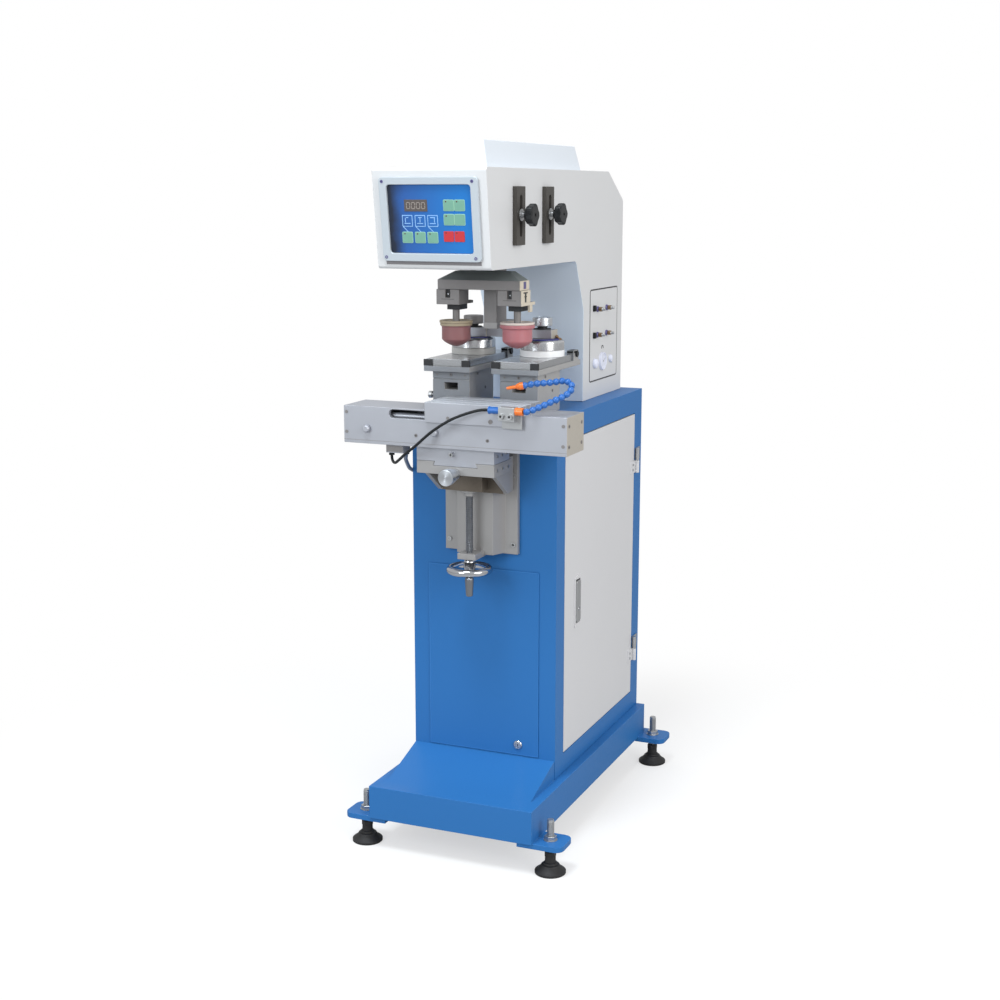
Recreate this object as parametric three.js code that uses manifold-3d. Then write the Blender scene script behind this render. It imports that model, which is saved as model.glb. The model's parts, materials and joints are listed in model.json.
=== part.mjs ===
// Two-colour pad printing machine with closed ink cups and a shuttle table.
// Millimetres, X to the right seen from the front, Y to the back, Z up.
// Pieces are drawn with the cabinet's front sheet at Y = 0 and the floor at Z = 0;
// the whole machine is then centred on the middle of its depth.
import * as THREE from 'three';
import { mergeVertices } from 'three/addons/utils/BufferGeometryUtils.js';
import Module from 'manifold-3d';

const wasm = await Module();
wasm.setup();

// Clearances shared by all pieces
const seat = 0.3;
const running = 0.4;
const overrun = 3;
const weld = 0.0001;

// Facets on round forms
const roundSteps = 32;
const footSteps = 20;
const smallSteps = 16;
const filletSteps = 4;

// Stand
const foot = { discRadius: 33.5, discEdge: 6, discHeight: 23, hubRadius: 11, hubHeight: 27, studRadius: 8,
  studTop: 120 };
const ear = { bottom: 62, thickness: 12, overhang: 65, inboard: 36, width: 74, corner: 18, bite: 2,
  holeGap: 0.8 };
const footInset = { side: 27, front: 42, rear: 13 };
const cabinet = { width: 340, depth: 577, height: 801.7, sheet: 3 };
const base = { ledge: 21, front: -191, height: 74, sheet: 4 };
const apron = { rise: 44, reach: 143, sideInset: 1 };
const service = { width: 260, bottom: 194, top: 610, sheet: 2, lip: 11, lockX: 83, lockZ: 216 };
const lock = { flange: 10, flangeDepth: 3, barrel: 8, camLength: 34, camWidth: 14, camSheet: 3 };
const door = { front: 52.8, rear: 524.4, bottom: 192.5, top: 891.3, gap: 2, depth: 15, sheet: 3 };
const hinge = { pinOut: 6.5, pinBack: 4.6, radius: 5, length: 60, leaf: 2.6, cabinetLeaf: 30,
  doorLeaf: 27 };
const hingeHeights = { upper: 778, lower: 304 };
const latch = { middleY: 132, middleZ: 522, frameWidth: 40, frameHeight: 116, frameProud: 2.5,
  frameCorner: 5 };
const lever = { width: 25, height: 94, thickness: 11, proud: 4.5, pocketGap: 1.4, pocketRoom: 3.5,
  pocketDepth: 9.5 };
const leverPin = { inset: 4, radius: 2, reach: 3 };
const louvre = { rows: 7, pitch: 22, width: 110, height: 7, top: 850, column: 72 };
const inlet = { radius: 13, height: 240, side: 60 };

// Head
const head = { width: 245.6, sheet: 4, columnFront: 283.6, columnRear: 552, bendHeight: 207.4,
  roofHeight: 318.2 };
const crown = { height: 515.2, rearCorner: 449.7, rearTop: 445.4, frontTop: -265, frontBottom: -240,
  roofEnd: 232.3 };
const headFillet = { arch: 14, front: 7, rear: 10 };
const headSlot = { width: 124, front: -200, rear: 200 };
const columnFlange = 22;
const cover = { baseHalf: 89, topHalf: 75, baseFront: -184, topFront: -168, topRear: 346, baseRear: 350,
  height: 54, sheet: 3 };
const bezel = { width: 212, height: 164, offset: 16.5, depth: 7, border: 18, borderBottom: 14, corner: 8,
  windowCorner: 6 };
const keypad = { depth: 2, gap: 0.5 };
const stopBar = { width: 45.5, height: 116, depth: 9, bottom: 363.3, frontPlace: -134, rearPlace: 26,
  edge: 1.5 };
const stopSlot = { width: 13, length: 83 };
const stopStud = { height: 423, washer: 12, washerDepth: 2, neck: 5.5, neckLength: 6.4, pin: 4,
  pinLength: 15, slotFit: 0.7 };
const clampKnob = { hub: 10, hubLength: 7, lobeReach: 24, lobeDepth: 3.4, lobes: 5, thickness: 15,
  capEdge: 2.5 };
const valve = { collar: 6.5, collarLength: 4, grip: 5, gripLength: 10, tip: 3.4, tipLength: 6,
  firstY: 375, pitchY: 63 };
const valveRows = { upper: 203.7, lower: 144.7 };
const gauge = { y: 420.6, height: 79.3, radius: 20, depth: 5 };
const regulator = { y: 358.4, height: 79.8, radius: 11, depth: 9, edge: 1.5 };
const airPort = { y: 478.8, radius: 9, depth: 4 };

// Traverse and pads
const rail = { side: 46, height: 83.5, radius: 8, plateDepth: 12, plateHalf: 74, plateRise: 107,
  plateSpace: 3.2 };
const traverse = { half: 66, front: -20, rear: 93, bottom: 18.5, top: 105.5 };
const ram = { radius: 10, y: 12, rise: 90, guideRadius: 6, guideSide: 28, guideRise: 112 };
const padPitch = 141;
const beam = { half: 94, front: -26, rear: 24, bottom: 150, height: 20, topHalf: 64, topFront: -1,
  topRise: 18 };
const holder = { width: 53, height: 32, slotWidth: 11, slotHeight: 17.5, slotDepth: 6, foot: 6,
  footRear: 48 };
const padPlace = 17;
const flange = { half: 15, front: 14, rear: 26, thickness: 12.4 };
const stem = { radius: 7.6, length: 23, discHeight: 5, discRim: 2, rimWidth: 6 };
const pad = { straight: 34.2, dome: 16.8, domePower: 1.43, tip: 3, tipFlat: 1 };
const padSizes = {
  left: { disc: 36, lip: 34.5, lipHeight: 6, body: 31 },
  right: { disc: 38.5, lip: 39.5, lipHeight: 7.5, body: 33 },
};

// Ink cups and plates
const platePitch = 158;
const cupPitch = 164;
const stand = { width: 87, front: 7, rear: 245, height: 89.7, windowHalf: 15.5, windowBottom: 49.5,
  windowTop: 64.5 };
const standDetail = { windowDepth: 70, seam: 71, seamDepth: 1.5, seamHeight: 2 };
const tray = { half: 54, front: -16, rear: 238, thickness: 11.7, cornerPost: 13, postRise: 14 };
const plate = { half: 50, front: -12, rear: 228, thickness: 15 };
const rearClamp = { width: 17, front: 196, rear: 226, rise: 7.5 };
const cup = { y: 135, radius: 48.5, topRadius: 40, shoulder: 7.5, height: 21.5, wall: 6, roof: 6,
  bossRadius: 30, bossHeight: 2.5 };
const ring = { radius: 49, inner: 40, height: 14.2, edge: 2 };
const arm = { barHalfDepth: 14, barThickness: 19, postHalf: 15, postFront: 38, postRear: 93,
  footHalf: 15.5 };
const armFoot = { rise: 5.9, height: 12.7 };
const clampBlock = { inboard: 38, outboard: 28.5, halfDepth: 18.5 };
const cupKnob = { neck: 11.5, neckHeight: 7.5, radius: 22, height: 18, edge: 2.5, screw: 5,
  screwReach: 18 };

// Table
const slide = { width: 170, bottom: 650, top: 880, plate: 12, wayHalf: 42, wayBackHalf: 57, wayFront: 47,
  wayRaise: 2 };
const screw = { out: 75, radius: 8, top: 824, journal: 6, journalEnd: 618 };
const bracket = { half: 21, front: 92, bottom: 648, height: 13 };
const wheel = { height: 624, outer: 50, tube: 7.5, hub: 13, hubTop: 647.4, hubBottom: 615, spokes: 3,
  spokeWidth: 13 };
const wheelSpoke = { hubTop: 642, hubBottom: 630, rimTop: 629, rimBottom: 620 };
const grip = { angle: -66.6, pin: 4, pinDepth: 11, topRadius: 9.5, endRadius: 7.5, length: 44, edge: 2 };
const knee = { half: 88, front: 147, bottom: 840, thickness: 27, nutHalf: 37, nutBottom: 797,
  saddleFront: 58, saddleHalf: 76 };
const kneeWeb = { inner: 72, outer: 82, front: 132, bottom: 790, saddleRear: 14 };
const dovetail = { depth: 9, mouthHalf: 46, rootHalf: 50 };
const upperSlide = { thickness: 29.6, rear: 65, reliefHalf: 11, reliefRear: 51, reliefFront: 97,
  reliefDepth: 20 };
const clampPin = { x: -5, height: 17, radius: 4.5, length: 9 };
const crossKnob = { front: 195, radius: 15.5, length: 26, collar: 12, collarLength: 14, shaft: 5,
  height: 842 };
const crossKnobShape = { shaftEnd: 100, bearing: 10, edge: 1.5 };
const housing = { half: 251.7, front: 160, rear: 62, height: 79, wallEnd: 11.7, wall: 10, floor: 12,
  roof: 3.5 };
const housingSlot = { half: 145, height: 18 };
const guideRod = { radius: 7, out: 138, height: 60 };
const stopPin = { radius: 8, neck: 5, length: 8, neckLength: 3, height: 32.5, leftX: -196, rightX: -39 };
const hoseBlock = { left: -158, right: -118, front: 150, rear: 115, depth: 18 };
const shuttle = { left: -59, right: 154, front: 168, rear: 58, top: 96, plate: 15, skirt: 7,
  skirtDepth: 42, lift: 2 };
const shuttleNeck = { left: 20, right: 75, thickness: 13.5, blockFront: 148.5, blockRear: 122,
  blockDepth: 30 };
const tableGroove = { width: 6, depth: 6, first: 140, pitch: 27, count: 3 };
const manifold = { left: 115, right: 150, depth: 20, bottom: 69, top: 97, bracketRight: 159,
  bracketSheet: 2, bracketDrop: 18 };
const fitting = { blueRadius: 7, blueLength: 23, orangeRadius: 8, orangeLength: 16, out: 181, height: 89,
  boltRadius: 5 };
const bolt = { length: 4, inset: 8, height: 79.5, corner: 1 };

// Ball-segment air hose: hand-chosen route of the ball centres, from the manifold to the nozzle
const ball = { radius: 6.9, waist: 4.4, bore: 2.2, count: 18, sides: 10, gap: 1 };
const ballShape = [[0, ball.waist], [0.22, 6.5], [0.5, ball.radius], [0.8, 5.9]];
const hoseRoute = [[166.9, -181, 985.6], [171, -181, 985.6], [181, -174, 988.5], [194, -163, 994.5], [206,
  -153, 1000.5],
  [217, -144, 1006], [227, -135, 1011], [236, -126, 1016.5], [241.5, -117.5, 1023], [242.3, -109, 1030.5],
  [238, -103, 1036.5], [228, -99.5, 1040.5], [215, -99, 1041], [202, -100.5, 1038.5], [188, -103, 1036.5],
  [174.5, -107, 1035.5], [161, -111, 1034], [147.5, -115, 1031.5], [136.5, -118.3, 1029.5]];
const nozzle = { radius: 6, tip: 2.6, length: 31, collar: 7.4, collarLength: 8, bore: 1.4 };
// Black air tube: hand-chosen route from the manifold's fitting to the valve block below the housing
const tubeRadius = 2.6;
const tubeSides = 8;
const tubeSteps = 36;
const tubeRoute = [[91.6, -181, 985.6], [82, -181.1, 985.5], [70, -182.5, 984], [46, -186, 977], [10,
  -190, 962],
  [-33, -194, 934], [-69, -191, 904], [-97, -182, 884], [-120, -168, 867], [-135, -155, 859], [-145,
    -145.5, 861.5],
  [-149.5, -140.2, 869.5], [-149.5, -140, 878.2]];

// Places that follow from the sizes above
const baseBottom = ear.bottom + ear.thickness - ear.bite;
const baseTop = baseBottom + base.height;
const baseHalf = cabinet.width / 2 + base.ledge;
const footX = baseHalf + footInset.side;
const footFront = base.front + footInset.front;
const footRear = cabinet.depth - footInset.rear;
const baseRear = cabinet.depth;
const cabinetHalf = cabinet.width / 2;
const cabinetBottom = baseTop + seat;
const cabinetTop = cabinetBottom + cabinet.height;
const headHalf = head.width / 2;
const headBottom = cabinetTop + seat;
const roofZ = headBottom + head.roofHeight;
const crownZ = headBottom + crown.height;
const lean = Math.atan2(crown.frontBottom - crown.frontTop, crown.height - head.roofHeight);
const standTop = cabinetTop + seat + stand.height;
const trayTop = standTop + tray.thickness;
const plateTop = trayTop + seat + plate.thickness;
const tableZ = knee.bottom + knee.thickness - seat + upperSlide.thickness + seat;
const tableTop = tableZ + housing.height;
const shuttleTop = tableZ + shuttle.top;
const slotTop = tableTop - housing.roof;
const frontReach = crown.frontTop - (bezel.depth + seat) * Math.cos(lean);
const rearReach = footRear + ear.width / 2;
const depthMiddle = (frontReach + rearReach) / 2;

// Turns a closed geometry into a solid that can be joined and cut.
function solidOf(geometry) {
  const bare = geometry.index ? geometry.toNonIndexed() : geometry.clone();
  bare.deleteAttribute('normal');
  bare.deleteAttribute('uv');
  const merged = mergeVertices(bare, weld);
  const places = merged.attributes.position.array;
  const corners = merged.index.array;
  const kept = [];
  let volume = 0;
  for (let i = 0; i < corners.length; i += 3) {
    const [a, b, c] = [corners[i], corners[i + 1], corners[i + 2]];
    if (a === b || b === c || c === a) continue;
    kept.push(a, b, c);
    const [p, q, r] = [a, b, c].map((n) => new THREE.Vector3().fromArray(places, n * 3));
    volume += p.dot(q.cross(r));
  }
  if (volume < 0) kept.reverse();
  const mesh = new wasm.Mesh({ numProp: 3, vertProperties: places, triVerts: Uint32Array.from(kept) });
  return new wasm.Manifold(mesh);
}

// A cuboid between two limits on each axis.
function block(x0, x1, y0, y1, z0, z1) {
  const unit = new THREE.BoxGeometry(1, 1, 1);
  unit.scale(x1 - x0, y1 - y0, z1 - z0);
  unit.translate((x0 + x1) / 2, (y0 + y1) / 2, (z0 + z1) / 2);
  return solidOf(unit);
}

// Rounds the corners of an outline given as [u, v, radius].
function softened(corners) {
  const points = [];
  corners.forEach(([u, v, radius = 0], i) => {
    if (radius === 0) {
      points.push([u, v]);
      return;
    }
    const here = new THREE.Vector2(u, v);
    const [lastU, lastV] = corners.at(i - 1);
    const [nextU, nextV] = corners[(i + 1) % corners.length];
    const back = new THREE.Vector2(lastU, lastV).sub(here).normalize();
    const ahead = new THREE.Vector2(nextU, nextV).sub(here).normalize();
    const half = Math.acos(back.dot(ahead)) / 2;
    const inward = back.clone().add(ahead).normalize();
    const centre = here.clone().addScaledVector(inward, radius / Math.sin(half));
    const start = back.multiplyScalar(radius / Math.tan(half)).add(here).sub(centre);
    const end = ahead.multiplyScalar(radius / Math.tan(half)).add(here).sub(centre);
    const turn = Math.atan2(start.cross(end), start.dot(end));
    for (let k = 0; k <= filletSteps; k += 1) {
      const spot = start.clone().rotateAround(new THREE.Vector2(), (turn * k) / filletSteps).add(centre);
      points.push([spot.x, spot.y]);
    }
  });
  return points;
}

// Corners of a rectangle with one radius.
function rectangle(u0, u1, v0, v1, radius = 0) {
  return softened([[u0, v0, radius], [u1, v0, radius], [u1, v1, radius], [u0, v1, radius]]);
}

// Moves every edge of an outline inwards by one distance.
function inset(outline, distance) {
  const area = outline.reduce((sum, [u, v], i) => {
    const [nextU, nextV] = outline[(i + 1) % outline.length];
    return sum + u * nextV - nextU * v;
  }, 0);
  const side = Math.sign(area);
  const edges = outline.map(([u, v], i) => {
    const [nextU, nextV] = outline[(i + 1) % outline.length];
    const run = new THREE.Vector2(nextU - u, nextV - v).normalize();
    const normal = new THREE.Vector2(-run.y, run.x).multiplyScalar(side);
    return { start: new THREE.Vector2(u, v).addScaledVector(normal, distance), run };
  });
  return edges.map((edge, i) => {
    const last = edges.at(i - 1);
    const between = edge.start.clone().sub(last.start);
    const along = between.cross(edge.run) / last.run.cross(edge.run);
    const spot = last.start.clone().addScaledVector(last.run, along);
    return [spot.x, spot.y];
  });
}

// Extrudes an outline along an axis: (y, z) along x, (x, z) along y or (x, y) along z.
function prism(axis, outline, from, to) {
  const shape = new THREE.Shape(outline.map(([u, v]) => new THREE.Vector2(u, v)));
  const geometry = new THREE.ExtrudeGeometry(shape, { depth: to - from, bevelEnabled: false });
  const [across, up, along] = {
    x: [new THREE.Vector3(0, 1, 0), new THREE.Vector3(0, 0, 1), new THREE.Vector3(1, 0, 0)],
    y: [new THREE.Vector3(1, 0, 0), new THREE.Vector3(0, 0, 1), new THREE.Vector3(0, -1, 0)],
    z: [new THREE.Vector3(1, 0, 0), new THREE.Vector3(0, 1, 0), new THREE.Vector3(0, 0, 1)],
  }[axis];
  const place = new THREE.Matrix4().makeBasis(across, up, along);
  const start = axis === 'y' ? along.clone().multiplyScalar(-to) : along.clone().multiplyScalar(from);
  geometry.applyMatrix4(place.setPosition(start));
  return solidOf(geometry);
}

// Revolves a profile of [radius, distance along the axis] about an axis through a centre.
function spin(axis, profile, centre, steps = roundSteps) {
  const geometry = new THREE.LatheGeometry(profile.map(([r, h]) => new THREE.Vector2(r, h)), steps);
  if (axis === 'x') geometry.rotateZ(-Math.PI / 2);
  if (axis === 'z') geometry.rotateX(Math.PI / 2);
  geometry.translate(...centre);
  return solidOf(geometry);
}

// A plain round bar along an axis, between two places on it.
function bar(axis, radius, from, to, centre, steps = smallSteps) {
  return spin(axis, [[0, from], [radius, from], [radius, to], [0, to]], centre, steps);
}

function joined(first, ...others) {
  return others.reduce((sum, next) => sum.add(next), first);
}

function cut(first, ...others) {
  return others.reduce((rest, next) => rest.subtract(next), first);
}

// Finishes
const finish = (color, roughness, metalness) => ({ color, roughness, metalness });
const bluePaint = finish(0x3a70b7, 0.45, 0.1);
const whitePaint = finish(0xd4d8de, 0.5, 0.05);
const greyPaint = finish(0xcbcdd2, 0.5, 0.05);
const steel = finish(0xa8a8a6, 0.35, 0.9);
const darkSteel = finish(0x706e70, 0.4, 0.8);
const chromed = finish(0xdcdee2, 0.12, 1);
const zinc = finish(0xb4b6ba, 0.4, 0.8);
const aluminium = finish(0xaab0b8, 0.4, 0.8);
const blackPlastic = finish(0x26282a, 0.55, 0);
const blackRubber = finish(0x1c1d1f, 0.8, 0);
const silicone = finish(0xb4646e, 0.5, 0);
const ceramic = finish(0xe8e6e0, 0.3, 0);
const cream = finish(0xd7c3aa, 0.6, 0);
const film = finish(0x1e5fb4, 0.3, 0);
const hoseBlue = finish(0x2868c8, 0.4, 0);

const machine = new THREE.Group();
machine.position.y = -depthMiddle;
const panelFace = new THREE.Group();
panelFace.position.set(0, crown.frontBottom, roofZ);
panelFace.rotation.x = lean;
machine.add(panelFace);

// Adds a finished solid as one named mesh.
function add(name, solid, look, parent = machine) {
  const { vertProperties, triVerts } = solid.getMesh();
  const geometry = new THREE.BufferGeometry();
  geometry.setAttribute('position', new THREE.BufferAttribute(Float32Array.from(vertProperties), 3));
  geometry.setIndex(new THREE.BufferAttribute(Uint32Array.from(triVerts), 1));
  geometry.computeVertexNormals();
  const mesh = new THREE.Mesh(geometry, new THREE.MeshStandardMaterial(look));
  mesh.name = name;
  parent.add(mesh);
}

const footPlaces = [
  ['front_left', -footX, footFront],
  ['front_right', footX, footFront],
  ['rear_left', -footX, footRear],
  ['rear_right', footX, footRear],
];
const sides = [['left', -1], ['right', 1]];

// Base tray, open below, with the sloped apron on top and four drilled ears
function baseFrame() {
  const rim = base.sheet;
  const outer = block(-baseHalf, baseHalf, base.front, baseRear, baseBottom, baseTop);
  const hollow = block(-baseHalf + rim, baseHalf - rim, base.front + rim, baseRear - rim,
    baseBottom - overrun, baseTop - rim);
  const slope = [[-apron.reach, baseTop - rim], [-seat, baseTop - rim], [-seat, baseTop + apron.rise],
    [-apron.reach, baseTop]];
  const apronHalf = cabinetHalf - apron.sideInset;
  let frame = joined(cut(outer, hollow), prism('x', slope, -apronHalf, apronHalf));
  for (const [, x, y] of footPlaces) {
    const outward = Math.sign(x);
    const inner = outward * (baseHalf - ear.inboard);
    const outer = outward * (baseHalf + ear.overhang);
    const half = ear.width / 2;
    const outline = softened([[inner, y - half], [outer, y - half, ear.corner], [outer, y + half,
      ear.corner],
      [inner, y + half]]);
    const tab = prism('z', outward > 0 ? outline : outline.reverse(), ear.bottom,
      ear.bottom + ear.thickness);
    const hole = bar('z', foot.studRadius + ear.holeGap, ear.bottom - overrun,
      ear.bottom + ear.thickness + overrun, [x, y, 0]);
    frame = cut(joined(frame, tab), hole);
  }
  return frame;
}
add('base_frame', baseFrame(), bluePaint);

// Levelling foot: rubber disc, hub and threaded stud in one piece
for (const [place, x, y] of footPlaces) {
  const shoulder = foot.discHeight;
  const neck = foot.discHeight + foot.hubHeight;
  const profile = [[0, 0], [foot.discRadius, 0], [foot.discRadius, foot.discEdge],
    [foot.hubRadius + foot.discEdge, shoulder], [foot.hubRadius, shoulder], [foot.hubRadius, neck],
    [foot.studRadius, neck], [foot.studRadius, foot.studTop], [0, foot.studTop]];
  add(`levelling_foot_${place}`, spin('z', profile, [x, y, 0], footSteps), blackRubber);
}

// Cabinet: a folded sheet box with openings for the side door and the service panel
function cabinetShell() {
  const skin = cabinet.sheet;
  const outer = block(-cabinetHalf, cabinetHalf, 0, cabinet.depth, cabinetBottom, cabinetTop);
  const inner = block(-cabinetHalf + skin, cabinetHalf - skin, skin, cabinet.depth - skin,
    cabinetBottom + skin, cabinetTop - skin);
  const doorway = block(cabinetHalf - skin - overrun, cabinetHalf + overrun, door.front - door.gap,
    door.rear + door.gap, door.bottom - door.gap, door.top + door.gap);
  const panelHalf = service.width / 2 - service.lip;
  const access = block(-panelHalf, panelHalf, -overrun, skin + overrun, service.bottom + service.lip,
    service.top - service.lip);
  const pass = bar('z', columnFlange * 2, cabinetTop - skin - overrun, cabinetTop + overrun,
    [0, (head.columnFront + head.columnRear) / 2, 0], roundSteps);
  let shell = cut(outer, inner, doorway, access, pass);
  for (let row = 0; row < louvre.rows; row += 1) {
    for (const [, side] of sides) {
      const middle = side * louvre.column;
      const top = louvre.top - row * louvre.pitch;
      const vent = prism('y', rectangle(middle - louvre.width / 2, middle + louvre.width / 2,
        top - louvre.height, top), cabinet.depth - skin - overrun, cabinet.depth + overrun);
      shell = shell.subtract(vent);
    }
  }
  for (const [, side] of sides) {
    shell = shell.subtract(bar('y', inlet.radius, cabinet.depth - skin - overrun, cabinet.depth + overrun,
      [side * inlet.side, 0, inlet.height]));
  }
  return shell;
}
add('cabinet_shell', cabinetShell(), bluePaint);

// Service panel on the cabinet's front, with its cam lock
const panelBack = -seat;
const lockHole = bar('y', lock.barrel + running, panelBack - service.sheet - overrun, panelBack + overrun,
  [service.lockX, 0, service.lockZ]);
add('front_service_panel', cut(block(-service.width / 2, service.width / 2, panelBack - service.sheet,
  panelBack,
  service.bottom, service.top), lockHole), bluePaint);

const lockFace = panelBack - service.sheet - seat;
const camEnd = cabinet.sheet + running + lock.camSheet;
const lockBody = spin('y', [[0, lockFace - lock.flangeDepth], [lock.flange - bolt.corner,
  lockFace - lock.flangeDepth],
  [lock.flange, lockFace - lock.flangeDepth + bolt.corner], [lock.flange, lockFace], [lock.barrel,
    lockFace],
  [lock.barrel, camEnd], [0, camEnd]], [service.lockX, 0, service.lockZ], smallSteps);
const lockCam = block(service.lockX - lock.camWidth / 2, service.lockX + lock.camWidth / 2,
  camEnd - lock.camSheet,
  camEnd, service.lockZ - lock.camLength, service.lockZ);
add('front_panel_lock', joined(lockBody, lockCam), chromed);

// Side door: a pan with a raised latch frame, a pocket for the lever and two hinge leaves
const doorFace = cabinetHalf;
const leverFront = doorFace + lever.proud;
const leverBack = leverFront - lever.thickness;
const leverPinX = (leverFront + leverBack) / 2;
const leverPinZ = latch.middleZ + lever.height / 2 - leverPin.inset;
const leverPinEnd = lever.width / 2 + lever.pocketGap + leverPin.reach;
const pinX = cabinetHalf + hinge.pinOut;
const pinY = door.rear + hinge.pinBack;
function sideDoor() {
  const back = doorFace - door.depth;
  const pan = cut(block(back, doorFace, door.front, door.rear, door.bottom, door.top),
    block(back - overrun, doorFace - door.sheet, door.front + door.sheet, door.rear - door.sheet,
      door.bottom + door.sheet, door.top - door.sheet));
  const frameY = latch.frameWidth / 2;
  const frameZ = latch.frameHeight / 2;
  const frame = prism('x', rectangle(latch.middleY - frameY, latch.middleY + frameY, latch.middleZ - frameZ,
    latch.middleZ + frameZ, latch.frameCorner), back, doorFace + latch.frameProud);
  const pocketY = lever.width / 2 + lever.pocketGap;
  const pocketZ = lever.height / 2 + lever.pocketRoom;
  const pocket = block(doorFace - lever.pocketDepth, doorFace + overrun + latch.frameProud,
    latch.middleY - pocketY, latch.middleY + pocketY, latch.middleZ - pocketZ, latch.middleZ + pocketZ);
  const pinBore = bar('y', leverPin.radius + running, latch.middleY - leverPinEnd - running,
    latch.middleY + leverPinEnd + running, [leverPinX, 0, leverPinZ]);
  let panel = cut(joined(pan, frame), pocket, pinBore);
  for (const height of Object.values(hingeHeights)) {
    const low = height - hinge.length / 2;
    const leaf = block(doorFace - door.sheet, doorFace + hinge.leaf, door.rear - hinge.doorLeaf,
      door.rear, low,
      height - running / 2);
    const web = block(doorFace + seat, doorFace + hinge.leaf, door.rear - hinge.leaf, pinY, low,
      height - running / 2);
    const knuckle = bar('z', hinge.radius, low, height - running / 2, [pinX, pinY, 0]);
    panel = joined(panel, leaf, web, knuckle);
  }
  return panel;
}
add('side_door', sideDoor(), greyPaint);

// Hinge halves on the cabinet: leaf, knuckle and pin seat above the door's half
for (const [place, height] of Object.entries(hingeHeights)) {
  const top = height + hinge.length / 2;
  const low = height + running / 2;
  const leaf = block(cabinetHalf + seat, cabinetHalf + seat + hinge.leaf, pinY, pinY + hinge.cabinetLeaf,
    low, top);
  add(`door_hinge_${place}`, joined(bar('z', hinge.radius, low, top, [pinX, pinY, 0]), leaf), zinc);
}

// Pull-out lever of the door latch, on a pivot pin near its top
const leverBody = prism('x', rectangle(latch.middleY - lever.width / 2, latch.middleY + lever.width / 2,
  latch.middleZ - lever.height / 2, latch.middleZ + lever.height / 2, latch.frameCorner), leverBack,
    leverFront);
add('door_handle', joined(leverBody, bar('y', leverPin.radius, latch.middleY - leverPinEnd,
  latch.middleY + leverPinEnd, [leverPinX, 0, leverPinZ])), zinc);

// Head: a C-shaped sheet housing, open at the column's foot and along a slot in the arch roof
function headHousing() {
  const outline = [
    [head.columnFront, headBottom], [head.columnRear, headBottom], [head.columnRear,
      headBottom + crown.rearCorner],
    [crown.rearTop, crownZ], [crown.frontTop, crownZ], [crown.frontBottom, roofZ], [crown.roofEnd, roofZ],
    [head.columnFront, headBottom + head.bendHeight],
  ];
  const radii = [0, 0, headFillet.rear, headFillet.rear, headFillet.front, headFillet.front,
    headFillet.arch, 0];
  const outer = prism('x', softened(outline.map(([y, z], i) => [y, z, radii[i]])), -headHalf, headHalf);
  const inner = prism('x', inset(outline, head.sheet), -headHalf + head.sheet, headHalf - head.sheet);
  const footHole = block(-headHalf + columnFlange, headHalf - columnFlange, head.columnFront + columnFlange,
    head.columnRear - columnFlange, headBottom - overrun, headBottom + head.sheet + overrun);
  const slot = block(-headSlot.width / 2, headSlot.width / 2, headSlot.front, headSlot.rear,
    roofZ - overrun,
    roofZ + head.sheet + overrun);
  const dial = spin('x', [[0, headHalf - head.sheet], [gauge.radius, headHalf - head.sheet],
    [gauge.radius, headHalf + gauge.depth - bolt.corner], [gauge.radius - bolt.corner,
      headHalf + gauge.depth],
    [0, headHalf + gauge.depth]], [0, gauge.y, headBottom + gauge.height]);
  const port = bar('x', airPort.radius, headHalf - head.sheet, headHalf + airPort.depth,
    [0, airPort.y, headBottom + gauge.height]);
  return joined(cut(outer, inner, footHole, slot), dial, port);
}
add('head_housing', headHousing(), whitePaint);

// Top cover: a hollow tapered hood
function hood(grow, rise, foot) {
  const across = [[-cover.baseHalf + grow, foot], [cover.baseHalf - grow, foot], [cover.topHalf - grow,
    rise],
    [-cover.topHalf + grow, rise]];
  const along = [[cover.baseFront + grow, foot], [cover.baseRear - grow, foot], [cover.topRear - grow,
    rise],
    [cover.topFront + grow, rise]];
  return prism('y', across, cover.baseFront - overrun, cover.baseRear + overrun)
    .intersect(prism('x', along, -cover.baseHalf - overrun, cover.baseHalf + overrun));
}
const coverFoot = crownZ + seat;
const coverTop = coverFoot + cover.height;
add('head_top_cover', cut(hood(0, coverTop, coverFoot), hood(cover.sheet, coverTop - cover.sheet,
  coverFoot)),
  whitePaint);

// Control panel on the leaning front: bezel frame and keypad film
const bezelHalf = bezel.width / 2;
const windowHalf = bezelHalf - bezel.border;
const windowBottom = bezel.offset + bezel.borderBottom;
const windowTop = bezel.offset + bezel.height - bezel.border;
add('panel_bezel', cut(
  prism('y', rectangle(-bezelHalf, bezelHalf, bezel.offset, bezel.offset + bezel.height, bezel.corner),
    -bezel.depth - seat, -seat),
  prism('y', rectangle(-windowHalf, windowHalf, windowBottom, windowTop, bezel.windowCorner),
    -bezel.depth - overrun, overrun),
), whitePaint, panelFace);
add('keypad_overlay', prism('y', rectangle(-windowHalf + keypad.gap, windowHalf - keypad.gap,
  windowBottom + keypad.gap, windowTop - keypad.gap, bezel.windowCorner), -keypad.depth - seat, -seat),
    film,
panelFace);

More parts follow.
